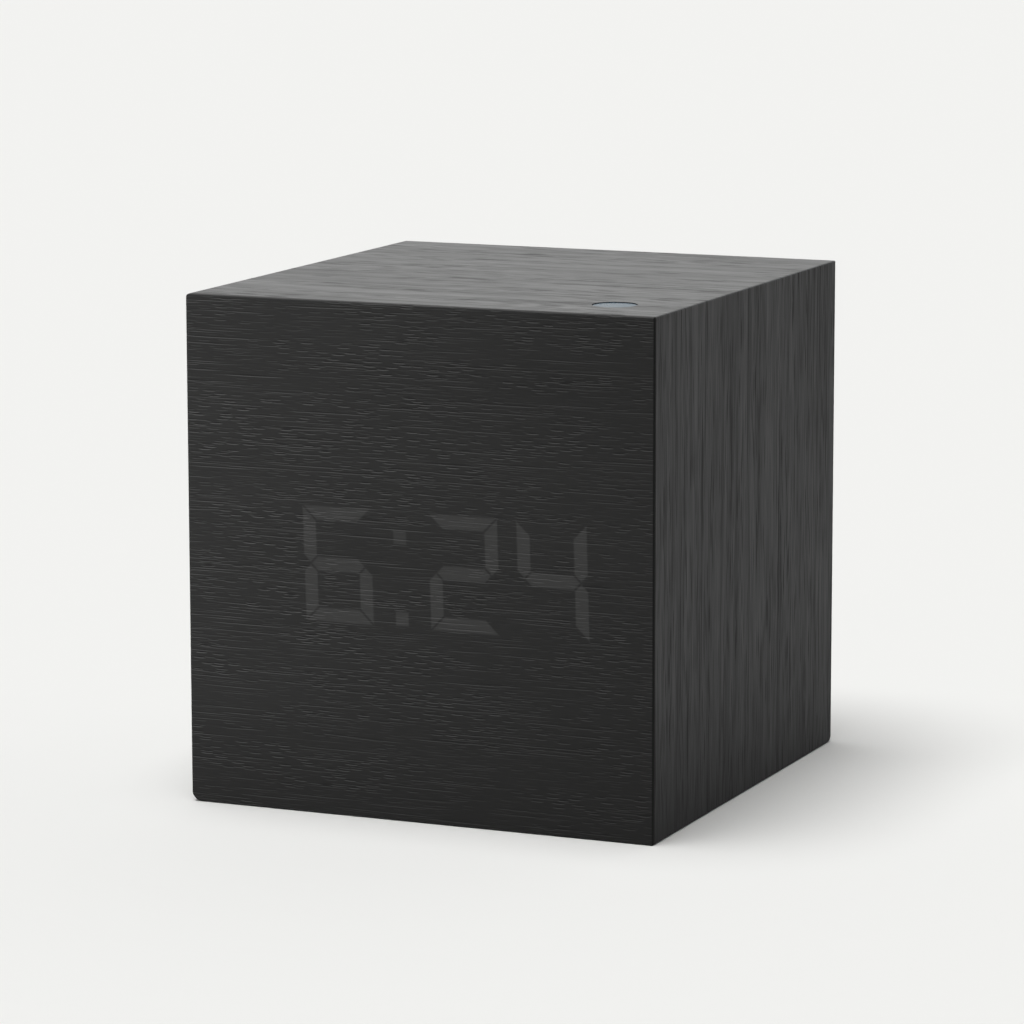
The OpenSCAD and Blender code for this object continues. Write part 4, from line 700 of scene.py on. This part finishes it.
for way, z in zip(CELL_WAYS, CELL_Z):
    rings = []
    for along, radius, _ in PROFILE:
        rings.append([bm.verts.new((way * (along - CELL_FOOT) * MM,
                                    (CELL_Y + radius * math.cos(2 * math.pi * s / SEGMENTS)) * MM,
                                    (z + radius * math.sin(2 * math.pi * s / SEGMENTS)) * MM))
                      for s in range(SEGMENTS)])
    for i in range(len(PROFILE) - 1):
        for s in range(SEGMENTS):
            after = (s + 1) % SEGMENTS
            face = bm.faces.new((rings[i][s], rings[i][after], rings[i + 1][after], rings[i + 1][s]))
            face.smooth = True
            face.material_index = 0 if PROFILE[i][2] else 1
            for loop, (du, dv) in zip(face.loops, ((0, 0), (1, 0), (1, 1), (0, 1))):
                loop[sleeve_map].uv = ((s + du) / SEGMENTS, PROFILE[i + dv][0] / CAN_L)
    for ring in (rings[0], rings[-1]):
        bm.faces.new(ring).material_index = 1

# Printed film: grey-green for most of the cell, a pale head, a thin line between; glossy and a little
# wrinkled. A plus at the head and a minus at the foot face the door.
HEAD_FROM, LINE_AT, LINE_HALF = 31.0, 29.8, 0.35
PLUS_AT, MINUS_AT, BAR, CROSSBAR = 37.5, 4.5, (1.7, 0.3), (0.3, 1.7)
WRINKLE, WRINKLE_HEIGHT = 3, 0.03
film_sleeve, tree = start_finish("printed film, shrunk on")
spot = add(tree, "SeparateXYZ", add(tree, "UVMap", uv_map="sleeve")).node.outputs
along = add(tree, "Math", spot[1], CAN_L, operation="MULTIPLY")
around = add(tree, "Math", spot[0], 1.0, operation="PINGPONG")
around = add(tree, "Math", around, 0.5, operation="PINGPONG")
aside = add(tree, "Math", around, 2 * math.pi * CELL_R, operation="MULTIPLY")
cloud = add(tree, "TexNoise", in_mm(tree), Scale=1 / WRINKLE, Detail=3.0)
dark = add(tree, "Mix", data_type="RGBA", Factor_Float=cloud, A_Color=linear("#3d5149"),
           B_Color=linear("#4a6057"))
head = add(tree, "Math", along, HEAD_FROM, operation="GREATER_THAN")
tone = add(tree, "Mix", data_type="RGBA", Factor_Float=head, A_Color=dark, B_Color=linear("#c2c4bf"))
band = add(tree, "Math", along, LINE_AT, LINE_HALF, operation="COMPARE")
tone = add(tree, "Mix", data_type="RGBA", Factor_Float=band, A_Color=tone, B_Color=linear("#d4d5d0"))
for mark_at, shade, bars in ((PLUS_AT, "#2a332f", (BAR, CROSSBAR)), (MINUS_AT, "#d4d5d0", (BAR,))):
    reach = add(tree, "Math", along, mark_at, operation="SUBTRACT")
    reach = add(tree, "Math", reach, operation="ABSOLUTE")
    for half_along, half_aside in bars:
        mark = add(tree, "Math", add(tree, "Math", reach, half_along, operation="LESS_THAN"),
                   add(tree, "Math", aside, half_aside, operation="LESS_THAN"), operation="MULTIPLY")
        tone = add(tree, "Mix", data_type="RGBA", Factor_Float=mark, A_Color=tone, B_Color=linear(shade))
wrinkle = add(tree, "Bump", Height=cloud, Distance=WRINKLE_HEIGHT * MM, Strength=1.0)
add(tree, "OutputMaterial", add(tree, "BsdfPrincipled", Base_Color=tone, Normal=wrinkle,
                                Roughness=add(tree, "MapRange", cloud, 0.3, 0.7, 0.2, 0.32)))
fit(finish_mesh("dry_cells", bm, film_sleeve, plated), "case", "cell_sleeve", "aaa_cells")

# Battery door: a black ABS lid on two moulded pins at its foot, with three finger ribs at its head and
# an arrow moulded below them that shows which way it is pulled.
finish_nodes(black_abs, "battery_door")
ARROW_Z, ARROW_HALF, ARROW_TIP, SHAFT_HALF, SHAFT_L, ARROW_RISE = 34.0, 1.6, 2.0, 0.6, 2.6, 0.3
bm = bmesh.new()
raise_mark(bm, [(-SHAFT_HALF, ARROW_Z + SHAFT_L), (-SHAFT_HALF, ARROW_Z), (-ARROW_HALF, ARROW_Z),
                (0, ARROW_Z - ARROW_TIP), (ARROW_HALF, ARROW_Z), (SHAFT_HALF, ARROW_Z),
                (SHAFT_HALF, ARROW_Z + SHAFT_L)], rise=ARROW_RISE)
fit(finish_mesh("door_arrow", bm, black_abs), "battery_door", "black_abs")
